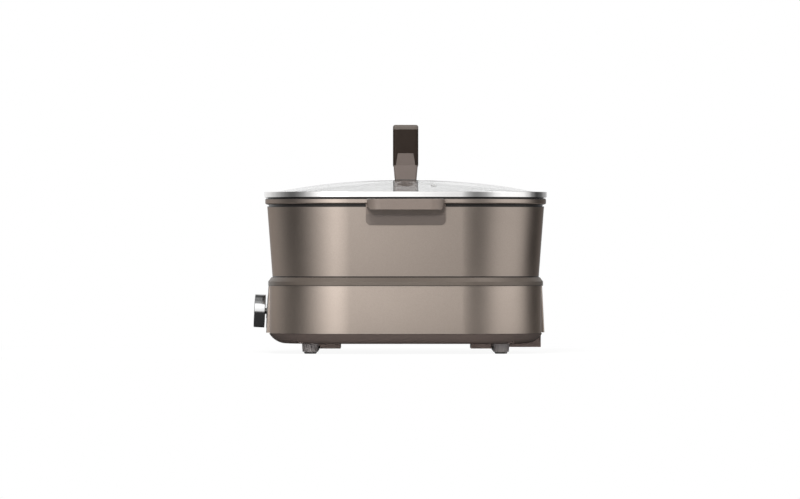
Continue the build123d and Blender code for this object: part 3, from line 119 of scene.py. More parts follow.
def fine_grain():
    """Even fine bumps, such as orange peel in lacquer or the grain of a spark-cut mould."""
    group, start, end = effect(
        "fine_grain", {"Bumps per metre": 900.0, "Softness": 0.5}, ["Height", "Shade"]
    )
    place = add(group, "TexCoord")
    noise = add(
        group, "TexNoise", Vector=(place, "Object"), Scale=(start, "Bumps per metre"),
        Detail=3.0, Roughness=(start, "Softness"),
    )
    shade = add(group, "MapRange", in0=(noise, 0), in1=0.3, in2=0.7, in3=0.0, in4=1.0)
    give(group, end, "Height", (noise, 0))
    give(group, end, "Shade", (shade, 0))
    return group


def lacquer_flakes():
    """Single metal flakes, each a little lighter or darker than the next."""
    group, start, end = effect("lacquer_flakes", {"Flakes per metre": 1900.0}, ["Shade"])
    place = add(group, "TexCoord")
    cells = add(group, "TexVoronoi", Vector=(place, "Object"), Scale=(start, "Flakes per metre"))
    grey = add(group, "RGBToBW", Color=(cells, "Color"))
    give(group, end, "Shade", (grey, 0))
    return group


def handling_marks():
    """Large soft patches where hands and cloths have passed."""
    group, start, end = effect("handling_marks", {"Patches per metre": 14.0}, ["Amount"])
    place = add(group, "TexCoord")
    noise = add(
        group, "TexNoise", Vector=(place, "Object"), Scale=(start, "Patches per metre"),
        Detail=6.0, Roughness=0.62, Distortion=0.6,
    )
    amount = add(group, "MapRange", in0=(noise, 0), in1=0.38, in2=0.66, in3=0.0, in4=1.0)
    give(group, end, "Amount", (amount, 0))
    return group


def worn_edges():
    """Where an edge sticks out: the rounded normal turns away from the true one."""
    group, start, end = effect("worn_edges", {"Edge width": 0.0006, "Breaks": 300.0}, ["Amount"])
    round_normal = add(group, "Bevel", {"samples": 4}, Radius=(start, "Edge width"))
    geometry = add(group, "NewGeometry")
    turned = add(
        group, "VectorMath", {"operation": "DOT_PRODUCT"},
        in0=(round_normal, 0), in1=(geometry, "Normal"),
    )
    bent = add(group, "MapRange", in0=(turned, "Value"), in1=0.995, in2=0.86, in3=0.0, in4=1.0)
    place = add(group, "TexCoord")
    breaks = add(group, "TexNoise", Vector=(place, "Object"), Scale=(start, "Breaks"), Detail=4.0)
    kept = add(group, "MapRange", in0=(breaks, 0), in1=0.42, in2=0.62, in3=0.0, in4=1.0)
    amount = add(group, "Math", {"operation": "MULTIPLY"}, in0=(bent, 0), in1=(kept, 0))
    give(group, end, "Amount", (amount, 0))
    return group


def centred_place(tree):
    """The place on the object, measured from the middle of its width."""
    place = add(tree, "TexCoord")
    return add(tree, "Mapping", Vector=(place, "Object"), Location=(0.0, -middle_y, 0.0))


def past_the_flats(tree, centred):
    """How far a place lies beyond the straight sides of the outline, along each axis."""
    reach = add(tree, "VectorMath", {"operation": "ABSOLUTE"}, in0=(centred, 0))
    past = add(
        tree, "VectorMath", {"operation": "SUBTRACT"}, in0=(reach, 0), in1=corner_centre + (0.0,)
    )
    return add(tree, "VectorMath", {"operation": "MAXIMUM"}, in0=(past, 0), in1=(0.0, 0.0, 0.0))


def even_corners():
    """The true normals of the rounded oblong outline, so gloss runs evenly from flat into corner.

    Where a face clearly looks another way, as in a rounding or a cut-out, it keeps its own normal.
    """
    least_agreement = 0.985
    group, _, end = effect("even_corners", {}, ["Normal"])
    centred = centred_place(group)
    side = add(group, "VectorMath", {"operation": "SIGN"}, in0=(centred, 0))
    past = past_the_flats(group, centred)
    turned = add(group, "VectorMath", {"operation": "MULTIPLY"}, in0=(past, 0), in1=(side, 0))
    flat = add(group, "VectorMath", {"operation": "MULTIPLY"}, in0=(turned, 0), in1=(1.0, 1.0, 0.0))
    outward = add(group, "VectorMath", {"operation": "NORMALIZE"}, in0=(flat, 0))
    geometry = add(group, "NewGeometry")
    parts = add(group, "SeparateXYZ", in0=(geometry, "Normal"))
    square = add(group, "Math", {"operation": "MULTIPLY"}, in0=(parts, "Z"), in1=(parts, "Z"))
    rest = add(group, "Math", {"operation": "SUBTRACT", "use_clamp": True}, in0=1.0, in1=(square, 0))
    length = add(group, "Math", {"operation": "SQRT"}, in0=(rest, 0))
    agrees = add(
        group, "VectorMath", {"operation": "DOT_PRODUCT"}, in0=(outward, 0), in1=(geometry, "Normal")
    )
    way = add(group, "Math", {"operation": "SIGN"}, in0=(agrees, "Value"))
    signed = add(group, "Math", {"operation": "MULTIPLY"}, in0=(length, 0), in1=(way, 0))
    level = add(group, "VectorMath", {"operation": "SCALE"}, in0=(outward, 0), Scale=(signed, 0))
    upright = add(group, "CombineXYZ", in2=(parts, "Z"))
    true_normal = add(group, "VectorMath", {"operation": "ADD"}, in0=(level, 0), in1=(upright, 0))
    close = add(
        group, "VectorMath", {"operation": "DOT_PRODUCT"},
        in0=(true_normal, 0), in1=(geometry, "Normal"),
    )
    valid = add(
        group, "Math", {"operation": "GREATER_THAN"}, in0=(close, "Value"), in1=least_agreement
    )
    chosen = add(
        group, "Mix", {"data_type": "VECTOR"},
        in0=(valid, 0), in4=(geometry, "Normal"), in5=(true_normal, 0),
    )
    give(group, end, "Normal", (chosen, 1))
    return group


effects = {
    "grain": fine_grain(),
    "corners": even_corners(),
    "flakes": lacquer_flakes(),
    "marks": handling_marks(),
    "wear": worn_edges(),
}


def use(tree, name, **inputs):
    """Places one of the effects in a material with its own values."""
    placed = tree.nodes.new("ShaderNodeGroup")
    placed.node_tree = effects[name]
    for label, value in inputs.items():
        placed.inputs[label.replace("_", " ")].default_value = value
    return placed


def blank_finish(name, **shader_inputs):
    """A material with its shader; returns material, node tree and shader."""
    material = bpy.data.materials.new(name)
    material.use_nodes = True
    tree = material.node_tree
    shader = tree.nodes["Principled BSDF"]
    for label, value in shader_inputs.items():
        shader.inputs[label.replace("_", " ")].default_value = value
    return material, tree, shader


def lead(tree, source, shader, label):
    """Leads a value into one of the shader's inputs."""
    tree.links.new(source[0].outputs[source[1]], shader.inputs[label])


def blend_colour(tree, share, first, second):
    """Mixes two colours, each a plain value or a (node, output) pair."""
    return add(tree, "Mix", {"data_type": "RGBA"}, in0=share, in6=first, in7=second), 2


def tone(colour, share, lift=0.0):
    """A colour made lighter or darker by a share, and raised by a little grey."""
    return tuple(min(1.0, share * c + lift) for c in colour[:3]) + (1.0,)


def scaled(tree, source, low, high):
    """Spreads a value from 0..1 over low..high."""
    return add(tree, "MapRange", in0=source, in1=0.0, in2=1.0, in3=low, in4=high), 0


def raised(tree, shader, height, depth):
    """Lets a height stand out of the surface by up to depth metres."""
    bump = add(tree, "Bump", Strength=1.0, Distance=depth, Height=height)
    lead(tree, (bump, 0), shader, "Normal")


def round_the_outline(material):
    """Bases the finish of a band of the body on the true normals of its outline."""
    tree = material.node_tree
    corners = use(tree, "corners")
    bump = tree.nodes["Principled BSDF"].inputs["Normal"].links[0].from_node
    lead(tree, (corners, "Normal"), bump, "Normal")


def dress(name, material):
    """Gives a piece of the frame its finish."""
    for slot in nodes[name].material_slots:
        slot.material = material


def metallic_lacquer(name, colour, roughness):
    """Sprayed metallic lacquer with flakes, soft hand marks and thin edges."""
    material, tree, shader = blank_finish(name, Metallic=1.0, Specular_Tint=lacquer_edge_tint)
    flakes = use(tree, "flakes")
    dark = tone(colour, 0.93)
    light = tone(colour, 1.05)
    flaked = blend_colour(tree, (flakes, "Shade"), dark, light)
    wear = use(tree, "wear")
    rubbed = blend_colour(tree, (wear, "Amount"), flaked, lacquer_worn_colour)
    lead(tree, rubbed, shader, "Base Color")
    marks = use(tree, "marks")
    lead(tree, scaled(tree, (marks, "Amount"), roughness - 0.02, roughness + 0.03), shader, "Roughness")
    grain = use(tree, "grain", Bumps_per_metre=420.0, Softness=0.4)
    raised(tree, shader, (grain, "Height"), 0.00002)
    return material


shell_lacquer = metallic_lacquer("shell_lacquer", shell_colour, roughness=0.31)
round_the_outline(shell_lacquer)
dress("base_shell", shell_lacquer)


# ---- Top deck ----
# One moulding in a taupe plastic with a little metal powder in it: the ring that shows above the
# shell, the wall of the well and the shelf below the pot. From the seam at the shell's upper edge
# down it is painted darker, as painted shade where it dips behind the shell.
deck_colour = (0.160, 0.132, 0.110, 1.0)
deck_worn_colour = (0.22, 0.19, 0.165, 1.0)
deck_painted_shade_colour = (0.070, 0.058, 0.050, 1.0)
deck_painted_shade_top = 0.0684


def moulded_plastic(
    name, colour, worn, roughness, grain_per_metre=1500.0, grain_depth=0.00003, metallic=0.0
):
    """Injection-moulded plastic: spark-cut grain, soft hand marks, edges polished by use."""
    material, tree, shader = blank_finish(name, Metallic=metallic)
    grain = use(tree, "grain", Bumps_per_metre=grain_per_metre, Softness=0.55)
    dark = tone(colour, 0.92)
    light = tone(colour, 1.06)
    grained = blend_colour(tree, (grain, "Shade"), dark, light)
    wear = use(tree, "wear", Edge_width=0.0005)
    lead(tree, blend_colour(tree, (wear, "Amount"), grained, worn), shader, "Base Color")
    marks = use(tree, "marks", Patches_per_metre=22.0)
    lead(tree, scaled(tree, (marks, "Amount"), roughness - 0.04, roughness + 0.05), shader, "Roughness")
    raised(tree, shader, (grain, "Height"), grain_depth)
    return material


def height_band():
    """One between two heights, with a soft border."""
    group, start, end = effect("height_band", {"Low": 0.0, "High": 1.0, "Border": 0.0001}, ["Amount"])
    place = add(group, "TexCoord")
    parts = add(group, "SeparateXYZ", in0=(place, "Object"))
    above = add(group, "Math", {"operation": "SUBTRACT"}, in0=(parts, "Z"), in1=(start, "Low"))
    under = add(group, "Math", {"operation": "SUBTRACT"}, in0=(start, "High"), in1=(parts, "Z"))
    inmost = add(group, "Math", {"operation": "MINIMUM"}, in0=(above, 0), in1=(under, 0))
    steep = add(group, "Math", {"operation": "DIVIDE"}, in0=(inmost, 0), in1=(start, "Border"))
    amount = add(group, "Math", {"operation": "ADD", "use_clamp": True}, in0=(steep, 0), in1=0.5)
    give(group, end, "Amount", (amount, 0))
    return group


effects["band"] = height_band()


def shade_band(material, low, high, colour, border=0.0001):
    """Paints shade as a colour over a band of heights of a finish."""
    tree = material.node_tree
    shader = tree.nodes["Principled BSDF"]
    band = use(tree, "band", Low=low, High=high, Border=border)
    below = shader.inputs["Base Color"].links[0].from_node
    lead(tree, blend_colour(tree, (band, "Amount"), (below, 2), colour), shader, "Base Color")


deck_plastic = moulded_plastic(
    "deck_moulding", deck_colour, deck_worn_colour, roughness=0.42, metallic=0.35
)
round_the_outline(deck_plastic)
# Painted shade: the deck below the shell's upper edge gets a darker colour.
shade_band(deck_plastic, 0.0, deck_painted_shade_top, deck_painted_shade_colour, border=0.0004)
dress("top_deck", deck_plastic)


# ---- Bottom cover, feet and screws ----
# A dark brown moulding closes the base from below. It has air slots in its plinths, four greyer
# feet with plugged-in rubber pads, and six screws that pull it against the deck.
cover_colour = (0.115, 0.088, 0.078, 1.0)
cover_worn_colour = (0.18, 0.15, 0.135, 1.0)
foot_colour = (0.140, 0.127, 0.124, 1.0)
foot_worn_colour = (0.21, 0.19, 0.185, 1.0)
rubber_colour = (0.024, 0.022, 0.021, 1.0)
screw_colour = (0.52, 0.52, 0.50, 1.0)
screw_edge_colour = (0.72, 0.72, 0.70, 1.0)

dress("bottom_cover", moulded_plastic(
    "cover_moulding", cover_colour, cover_worn_colour,
    roughness=0.48, grain_per_metre=1300.0, grain_depth=0.00004,
))


def rubber(name, colour, roughness):
    """Soft rubber or silicone with a dull skin and a little dust in its pores."""
    material, tree, shader = blank_finish(name, Sheen_Weight=0.25, Sheen_Roughness=0.5)
    grain = use(tree, "grain", Bumps_per_metre=2400.0, Softness=0.7)
    dusty = tone(colour, 1.7, 0.01)
    marks = use(tree, "marks", Patches_per_metre=120.0)
    lead(tree, blend_colour(tree, (marks, "Amount"), colour, dusty), shader, "Base Color")
    lead(tree, scaled(tree, (grain, "Shade"), roughness - 0.06, roughness + 0.06), shader, "Roughness")
    raised(tree, shader, (grain, "Height"), 0.00005)
    return material


dress("foot_pads", rubber("foot_rubber_skin", rubber_colour, roughness=0.72))
dress("feet", moulded_plastic("foot_moulding", foot_colour, foot_worn_colour, roughness=0.45))


def turned_metal(name, colour, worn, roughness, metallic=1.0):
    """Plated or bare metal hardware: faint tool marks and brighter edges."""
    material, tree, shader = blank_finish(name, Metallic=metallic)
    grain = use(tree, "grain", Bumps_per_metre=2600.0, Softness=0.6)
    dark = tone(colour, 0.82)
    toned = blend_colour(tree, (grain, "Shade"), dark, colour)
    wear = use(tree, "wear", Edge_width=0.0003, Breaks=900.0)
    lead(tree, blend_colour(tree, (wear, "Amount"), toned, worn), shader, "Base Color")
    lead(tree, scaled(tree, (grain, "Shade"), roughness, roughness + 0.12), shader, "Roughness")
    raised(tree, shader, (grain, "Height"), 0.00001)
    return material


screw_metal = turned_metal("zinc_plated_screws", screw_colour, screw_edge_colour, roughness=0.29)
for screw_node in (
    "cover_screws", "tray_screws", "cutout_screws", "inlet_screws", "grip_screws", "handle_screws",
    "handle_washers",
):
    dress(screw_node, screw_metal)


# ---- Reflector tray, heating tube and their fixings ----
# The tray is pressed from aluminised sheet and is browned by the heat along the tube. The tube is
# an oxidised steel sheath; ceramic bushes, brass tabs and pressed saddles hold it.
tray_colour = (0.56, 0.56, 0.55, 1.0)
tray_heat_tint = (0.36, 0.25, 0.15, 1.0)
sheath_colour = (0.085, 0.092, 0.080, 1.0)
sheath_bright = (0.20, 0.19, 0.17, 1.0)
ceramic_colour = (0.74, 0.71, 0.64, 1.0)
ceramic_edge_colour = (0.82, 0.80, 0.75, 1.0)
brass_colour = (0.62, 0.47, 0.22, 1.0)
brass_edge_colour = (0.80, 0.66, 0.36, 1.0)


def brushed_lines():
    """Long fine scratches that run along one axis of the object."""
    group, start, end = effect(
        "brushed_lines", {"Lines": (40.0, 2600.0, 2600.0)}, ["Height", "Shade"]
    )
    place = add(group, "TexCoord")
    stretched = add(
        group, "VectorMath", {"operation": "MULTIPLY"}, in0=(place, "Object"), in1=(start, "Lines")
    )
    noise = add(group, "TexNoise", Vector=(stretched, 0), Scale=1.0, Detail=2.0, Roughness=0.6)
    shade = add(group, "MapRange", in0=(noise, 0), in1=0.32, in2=0.68, in3=0.0, in4=1.0)
    give(group, end, "Height", (noise, 0))
    give(group, end, "Shade", (shade, 0))
    return group


effects["brushed"] = brushed_lines()


def heated_sheet():
    """Aluminised sheet with brown heat tint in patches."""
    material, tree, shader = blank_finish("aluminised_sheet", Metallic=1.0)
    lines = use(tree, "brushed")
    lines.inputs["Lines"].default_value = (60.0, 1500.0, 1500.0)
    marks = use(tree, "marks", Patches_per_metre=9.0)
    toned = blend_colour(tree, (lines, "Shade"), tone(tray_colour, 0.86), tray_colour)
    share = scaled(tree, (marks, "Amount"), 0.0, 0.55)
    lead(tree, blend_colour(tree, share, toned, tray_heat_tint), shader, "Base Color")
    lead(tree, scaled(tree, (marks, "Amount"), 0.30, 0.46), shader, "Roughness")
    raised(tree, shader, (lines, "Height"), 0.00002)
    return material


tray_sheet = heated_sheet()
for sheet_node in ("reflector_tray", "heater_saddles", "sensor_cup"):
    dress(sheet_node, tray_sheet)
dress("heating_tube", turned_metal(
    "oxidised_sheath", sheath_colour, sheath_bright, roughness=0.46, metallic=0.7
))
brass = turned_metal("brass_tabs", brass_colour, brass_edge_colour, roughness=0.30)
for tab_node in ("heater_tabs", "earth_tab"):
    dress(tab_node, brass)
dress("heater_bushes", moulded_plastic(
    "steatite", ceramic_colour, ceramic_edge_colour, roughness=0.55, grain_per_metre=1800.0
))


# ---- Sensor and seat pads ----
# A turned aluminium cap on a spring touches the middle of the pot. Four silicone buttons in the
# shelf carry the pot.
aluminium_colour = (0.72, 0.72, 0.71, 1.0)
aluminium_edge_colour = (0.85, 0.85, 0.84, 1.0)
spring_colour = (0.36, 0.35, 0.33, 1.0)
spring_bright_colour = (0.60, 0.60, 0.58, 1.0)
silicone_colour = (0.055, 0.050, 0.047, 1.0)

dress("sensor_cap", turned_metal(
    "turned_aluminium", aluminium_colour, aluminium_edge_colour, roughness=0.29
))
spring_metal = turned_metal("spring_steel_wire", spring_colour, spring_bright_colour, roughness=0.30)
for spring_node in ("sensor_spring", "stem_clip", "control_shaft", "control_nut"):
    dress(spring_node, spring_metal)
silicone_skin = rubber("silicone_skin", silicone_colour, roughness=0.55)
for silicone_node in ("seat_pads", "handle_gaskets"):
    dress(silicone_node, silicone_skin)


# ---- Front and rear fascia ----
# Wedge-shaped plates in the lacquer of the shell. The front one carries the printed dial: short
# ticks and plain numbers in a light grey ink round the knob.
panel_lacquer = metallic_lacquer("panel_lacquer", shell_colour, roughness=0.34)
for panel_node in ("front_panel", "rear_panel"):
    dress(panel_node, panel_lacquer)

ink_colour = (0.78, 0.76, 0.72, 1.0)
ink_thickness = 0.00006
dial_sweep = math.radians(270.0)
tick_radius = 0.0194
tick_length = 0.0016
tick_width = 0.00035
ticks_per_number = 3
number_radius = 0.0199
number_height = 0.0027
number_share_of_type_size = 0.72
numbers_on_dial = 7


def printing_ink():
    """Screen-printed ink, slightly thin in places."""
    material, tree, shader = blank_finish("printing_ink")
    grain = use(tree, "grain", Bumps_per_metre=5200.0, Softness=0.6)
    thin = tone(ink_colour, 0.8)
    lead(tree, blend_colour(tree, (grain, "Shade"), thin, ink_colour), shader, "Base Color")
    lead(tree, scaled(tree, (grain, "Shade"), 0.45, 0.6), shader, "Roughness")
    return material


ink = printing_ink()
knob_joint = next(joint for joint in frame["joints"] if joint["name"] == "knob_turn")
dial_out = -Vector(knob_joint["axis"]).normalized()
dial_right = Vector((1.0, 0.0, 0.0))
dial_up = dial_out.cross(dial_right).normalized()
knob_point = Vector(knob_joint["pos_m"])
panel_reach = max(vertex.co.dot(dial_out) for vertex in nodes["front_panel"].data.vertices)
dial_centre = knob_point + (panel_reach - knob_point.dot(dial_out)) * dial_out
dial_turn = Matrix((dial_right, dial_up, dial_out)).transposed().to_4x4()
dial_place = Matrix.Translation(dial_centre) @ dial_turn


def tick_tree():
    """Geometry nodes: ticks at even steps round a circle, clockwise from the top."""
    tree = bpy.data.node_groups.new("dial_ticks", "GeometryNodeTree")
    sockets = [
        ("Count", "NodeSocketInt"), ("Radius", "NodeSocketFloat"), ("Sweep", "NodeSocketFloat"),
        ("Length", "NodeSocketFloat"), ("Width", "NodeSocketFloat"), ("Thickness", "NodeSocketFloat"),
        ("Ink", "NodeSocketMaterial"),
    ]
    tree.interface.new_socket("Geometry", in_out="OUTPUT", socket_type="NodeSocketGeometry")
    for label, kind in sockets:
        tree.interface.new_socket(label, in_out="INPUT", socket_type=kind)
    start, end = tree.nodes.new("NodeGroupInput"), tree.nodes.new("NodeGroupOutput")
    line = add_node(tree, "GeometryNodeMeshLine", in0=(start, "Count"))
    index = add_node(tree, "GeometryNodeInputIndex")
    gaps = add(tree, "Math", {"operation": "SUBTRACT"}, in0=(start, "Count"), in1=1.0)
    share = add(tree, "Math", {"operation": "DIVIDE"}, in0=(index, 0), in1=(gaps, 0))
    turned = add(tree, "Math", {"operation": "MULTIPLY"}, in0=(share, 0), in1=(start, "Sweep"))
    angle = add(tree, "Math", {"operation": "SUBTRACT"}, in0=math.pi / 2, in1=(turned, 0))
    cosine = add(tree, "Math", {"operation": "COSINE"}, in0=(angle, 0))
    sine = add(tree, "Math", {"operation": "SINE"}, in0=(angle, 0))
    direction = add(tree, "CombineXYZ", in0=(cosine, 0), in1=(sine, 0))
    spot = add(
        tree, "VectorMath", {"operation": "SCALE"}, in0=(direction, 0), Scale=(start, "Radius")
    )
    points = add_node(tree, "GeometryNodeSetPosition", Geometry=(line, 0), Position=(spot, 0))
    size = add(
        tree, "CombineXYZ",
        in0=(start, "Length"), in1=(start, "Width"), in2=(start, "Thickness"),
    )
    bar = add_node(tree, "GeometryNodeMeshCube", Size=(size, 0))
    turn = add(tree, "CombineXYZ", in2=(angle, 0))
    ticks = add_node(
        tree, "GeometryNodeInstanceOnPoints",
        Points=(points, 0), Instance=(bar, 0), Rotation=(turn, 0),
    )
    real = add_node(tree, "GeometryNodeRealizeInstances", Geometry=(ticks, 0))
    inked = add_node(tree, "GeometryNodeSetMaterial", Geometry=(real, 0), Material=(start, "Ink"))
    tree.links.new(inked.outputs[0], end.inputs[0])
    return tree


def grown(name, tree, values):
    """Runs a geometry node tree with its named values and keeps the result as a plain mesh."""
    maker = bpy.data.objects.new(name + "_maker", bpy.data.meshes.new(name + "_start"))
    bpy.context.scene.collection.objects.link(maker)
    modifier = maker.modifiers.new("nodes", "NODES")
    modifier.node_group = tree
    for item in tree.interface.items_tree:
        if item.in_out == "INPUT" and item.name in values:
            modifier[item.identifier] = values[item.name]
    bpy.context.view_layer.update()
    depsgraph = bpy.context.evaluated_depsgraph_get()
    mesh = bpy.data.meshes.new_from_object(maker.evaluated_get(depsgraph), depsgraph=depsgraph)
    bpy.data.objects.remove(maker)
    mesh.name = name
    return mesh


def piece(name, mesh, body):
    """A finished piece of the scene: it stands at the origin and rides on a body."""
    made = bpy.data.objects.new(name, mesh)
    bpy.context.scene.collection.objects.link(made)
    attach(made, body)
    return made


tick_mesh = grown("dial_ticks", tick_tree(), {
    "Count": (numbers_on_dial - 1) * (ticks_per_number + 1) + 1,
    "Radius": tick_radius, "Sweep": dial_sweep, "Length": tick_length, "Width": tick_width,
    "Thickness": ink_thickness, "Ink": ink,
})


def without_ticks_at_numbers(mesh):
    """Takes out the ticks whose place a number takes."""
    cut = bmesh.new()
    cut.from_mesh(mesh)
    step = dial_sweep / (numbers_on_dial - 1)
    taken = []
    for vertex in cut.verts:
        turned = (math.pi / 2 - math.atan2(vertex.co.y, vertex.co.x)) % (2 * math.pi)
        nearest = round(turned / step) * step
        if abs(turned - nearest) < step / (2 * ticks_per_number + 2):
            taken.append(vertex)
    bmesh.ops.delete(cut, geom=taken, context="VERTS")
    cut.to_mesh(mesh)
    cut.free()


without_ticks_at_numbers(tick_mesh)
tick_mesh.transform(dial_place)
piece("dial_ticks", tick_mesh, "base")


def dial_numbers():
    """Plain numbers round the knob, from 0 at the top."""
    whole = bmesh.new()
    for number in range(numbers_on_dial):
        text = bpy.data.curves.new("number", "FONT")
        text.body = str(number)
        text.size = number_height / number_share_of_type_size
        text.align_x = "CENTER"
        text.align_y = "CENTER"
        text.extrude = ink_thickness / 2
        text.resolution_u = 3
        writer = bpy.data.objects.new("number_maker", text)
        bpy.context.scene.collection.objects.link(writer)
        bpy.context.view_layer.update()
        depsgraph = bpy.context.evaluated_depsgraph_get()
        mesh = bpy.data.meshes.new_from_object(writer.evaluated_get(depsgraph))
        bpy.data.objects.remove(writer)
        angle = math.pi / 2 - dial_sweep * number / (numbers_on_dial - 1)
        spot = Vector((math.cos(angle), math.sin(angle), 0.0)) * number_radius
        mesh.transform(Matrix.Translation(spot))
        whole.from_mesh(mesh)
        bpy.data.meshes.remove(mesh)
    numbers = bpy.data.meshes.new("dial_numbers")
    whole.to_mesh(numbers)
    whole.free()
    numbers.transform(dial_place)
    numbers.materials.append(ink)
    return numbers


piece("dial_numbers", dial_numbers(), "base")


# ---- Knob, bezel, lamp and heat control ----
# A chromed sleeve with a spun metal disc let into it, on a dark moulded hub. A painted line lies in
# the pointer groove. The bezel ring is chromed too, and the lamp window is amber.
chrome_colour = (0.50, 0.50, 0.50, 1.0)
disc_colour = (0.60, 0.58, 0.55, 1.0)
hub_colour = (0.020, 0.018, 0.017, 1.0)
hub_edge_colour = (0.050, 0.047, 0.045, 1.0)
amber_colour = (0.72, 0.17, 0.035, 1.0)
amber_light_colour = (0.80, 0.25, 0.06, 1.0)
knob_ring_wall = 0.0019
pointer_edge_gap = 0.0015
pointer_groove_depth = 0.0005
pointer_paint_colour = (0.85, 0.84, 0.80, 1.0)
pointer_paint_width = 0.0013
pointer_paint_length = 0.0076
pointer_paint_thickness = 0.00035
pointer_paint_slack = 0.0002
pointer_paint_steps = 8


def polished_metal(name, colour, roughness):
    """Chrome or polished steel: hairline scratches and a few fingerprints."""
    material, tree, shader = blank_finish(name, Metallic=1.0)
    marks = use(tree, "marks", Patches_per_metre=55.0)
    dull = tone(colour, 0.94)
    lead(tree, blend_colour(tree, (marks, "Amount"), colour, dull), shader, "Base Color")
    lead(tree, scaled(tree, (marks, "Amount"), roughness, roughness + 0.05), shader, "Roughness")
    lines = use(tree, "brushed")
    lines.inputs["Lines"].default_value = (400.0, 400.0, 4200.0)
    raised(tree, shader, (lines, "Height"), 0.000003)
    return material


chrome = polished_metal("chrome_plate", chrome_colour, roughness=0.07)
for chrome_node in ("knob_ring", "knob_bezel"):
    dress(chrome_node, chrome)


def spun_disc():
    """Metal spun in circles round the knob's own axis."""
    material, tree, shader = blank_finish("spun_disc", Metallic=1.0, Anisotropic=0.6)
    place = add(tree, "TexCoord")
    centred = add(tree, "Mapping", Vector=(place, "Object"), Location=tuple(-dial_centre))
    reach = add(tree, "VectorMath", {"operation": "LENGTH"}, in0=(centred, 0))
    rings = add(
        tree, "TexNoise", {"noise_dimensions": "1D"}, W=(reach, "Value"), Scale=5200.0, Detail=2.0
    )
    dark = tone(disc_colour, 0.8)
    lead(tree, blend_colour(tree, (rings, 0), dark, disc_colour), shader, "Base Color")
    lead(tree, scaled(tree, (rings, 0), 0.29, 0.40), shader, "Roughness")
    raised(tree, shader, (rings, 0), 0.00001)
    return material


dress("knob_face", spun_disc())
hub_plastic = moulded_plastic(
    "hub_moulding", hub_colour, hub_edge_colour, roughness=0.40, grain_per_metre=1600.0
)
for hub_node in ("knob_core", "control_body", "lamp_holder"):
    dress(hub_node, hub_plastic)


def pointer_paint():
    """The painted line in the pointer groove, with rounded ends."""
    width, length = pointer_paint_width, pointer_paint_length
    face_reach = max(vertex.co.dot(dial_out) for vertex in nodes["knob_face"].data.vertices)
    ring_low, ring_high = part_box("knob_ring")
    bore_radius = (ring_high.x - ring_low.x) / 2 - knob_ring_wall
    groove_middle = bore_radius - pointer_edge_gap - length / 2 - pointer_paint_slack
    paint = bmesh.new()
    outline = []
    for end in (1, -1):
        for n in range(pointer_paint_steps + 1):
            angle = math.pi * n / pointer_paint_steps + (0.0 if end > 0 else math.pi)
            x = width / 2 * math.cos(angle)
            y = width / 2 * math.sin(angle) + end * (length - width) / 2
            outline.append(paint.verts.new((x, y, 0.0)))
    face = paint.faces.new(outline)
    made = bmesh.ops.extrude_face_region(paint, geom=[face])
    lifted = [v for v in made["geom"] if isinstance(v, bmesh.types.BMVert)]
    bmesh.ops.translate(paint, verts=lifted, vec=(0, 0, pointer_paint_thickness))
    bmesh.ops.recalc_face_normals(paint, faces=paint.faces)
    mesh = bpy.data.meshes.new("pointer_paint")
    paint.to_mesh(mesh)
    paint.free()
    lift = face_reach - knob_point.dot(dial_out) - pointer_groove_depth
    spot = knob_point + dial_up * groove_middle + dial_out * lift
    mesh.transform(Matrix.Translation(spot) @ dial_turn)
    material, tree, shader = blank_finish("pointer_enamel")
    grain = use(tree, "grain", Bumps_per_metre=3000.0)
    thin = tone(pointer_paint_colour, 0.86)
    lead(tree, blend_colour(tree, (grain, "Shade"), thin, pointer_paint_colour), shader, "Base Color")
    lead(tree, scaled(tree, (grain, "Shade"), 0.3, 0.42), shader, "Roughness")
    mesh.materials.append(material)
    return mesh


piece("pointer_paint", pointer_paint(), "knob")


def lamp_window():
    """Clear amber plastic over the lamp."""
    material, tree, shader = blank_finish(
        "amber_window", Transmission_Weight=0.55, IOR=1.5, Metallic=0.0
    )
    marks = use(tree, "marks", Patches_per_metre=500.0)
    amber = blend_colour(tree, (marks, "Amount"), amber_colour, amber_light_colour)
    lead(tree, amber, shader, "Base Color")
    lead(tree, scaled(tree, (marks, "Amount"), 0.12, 0.2), shader, "Roughness")
    return material


dress("indicator_lens", lamp_window())


# ---- Inlet, cutout and inner wiring ----
# The three-pin inlet and the thermal cutout are moulded in the dark plastic of the knob's hub. The
# pins are nickelled, and the wires have red, blue and green plastic sleeves.
pin_colour = (0.66, 0.62, 0.55, 1.0)
pin_edge_colour = (0.80, 0.78, 0.72, 1.0)
wire_colours = {
    "live_wires": (0.30, 0.022, 0.018, 1.0),
    "neutral_wire": (0.020, 0.050, 0.22, 1.0),
    "earth_wire": (0.045, 0.20, 0.045, 1.0),
}

for dark_node in ("inlet_socket", "thermal_cutout"):
    dress(dark_node, hub_plastic)
dress("inlet_pins", turned_metal("nickel_pins", pin_colour, pin_edge_colour, roughness=0.29))
for wire_node, wire_colour in wire_colours.items():
    dress(wire_node, moulded_plastic(
        wire_node + "_skin", wire_colour, tone(wire_colour, 1.5, 0.02),
        roughness=0.38, grain_per_metre=2000.0, grain_depth=0.00002,
    ))


# ---- Pot ----
# Cast aluminium in a slightly darker taupe lacquer outside. A dark non-stick coating with fine light
# specks covers its inside. The sealing bead, the groove below the flange and the part in the well up to
# just above the deck take the coating's dark colour as painted shade.
coating_and_shade_colour = (0.030, 0.028, 0.027, 1.0)
coating_speck = (0.17, 0.16, 0.15, 1.0)
coating_roughness = 0.36
specks_per_metre = 520.0
cells_without_speck = 0.62
turned_in_limit = -0.004
floor_slope_limit = 0.5
pot_colour = (0.385, 0.325, 0.283, 1.0)
pot_flange_thickness = 0.0058
pot_bead_height = 0.0012
bead_shade_reach = 0.0011
groove_shade_height = 0.0030
shade_line_above_deck = 0.0012
flange_top = pot_high.z - pot_bead_height
flange_underside = flange_top - pot_flange_thickness
well_shade_top = deck_high.z + shade_line_above_deck


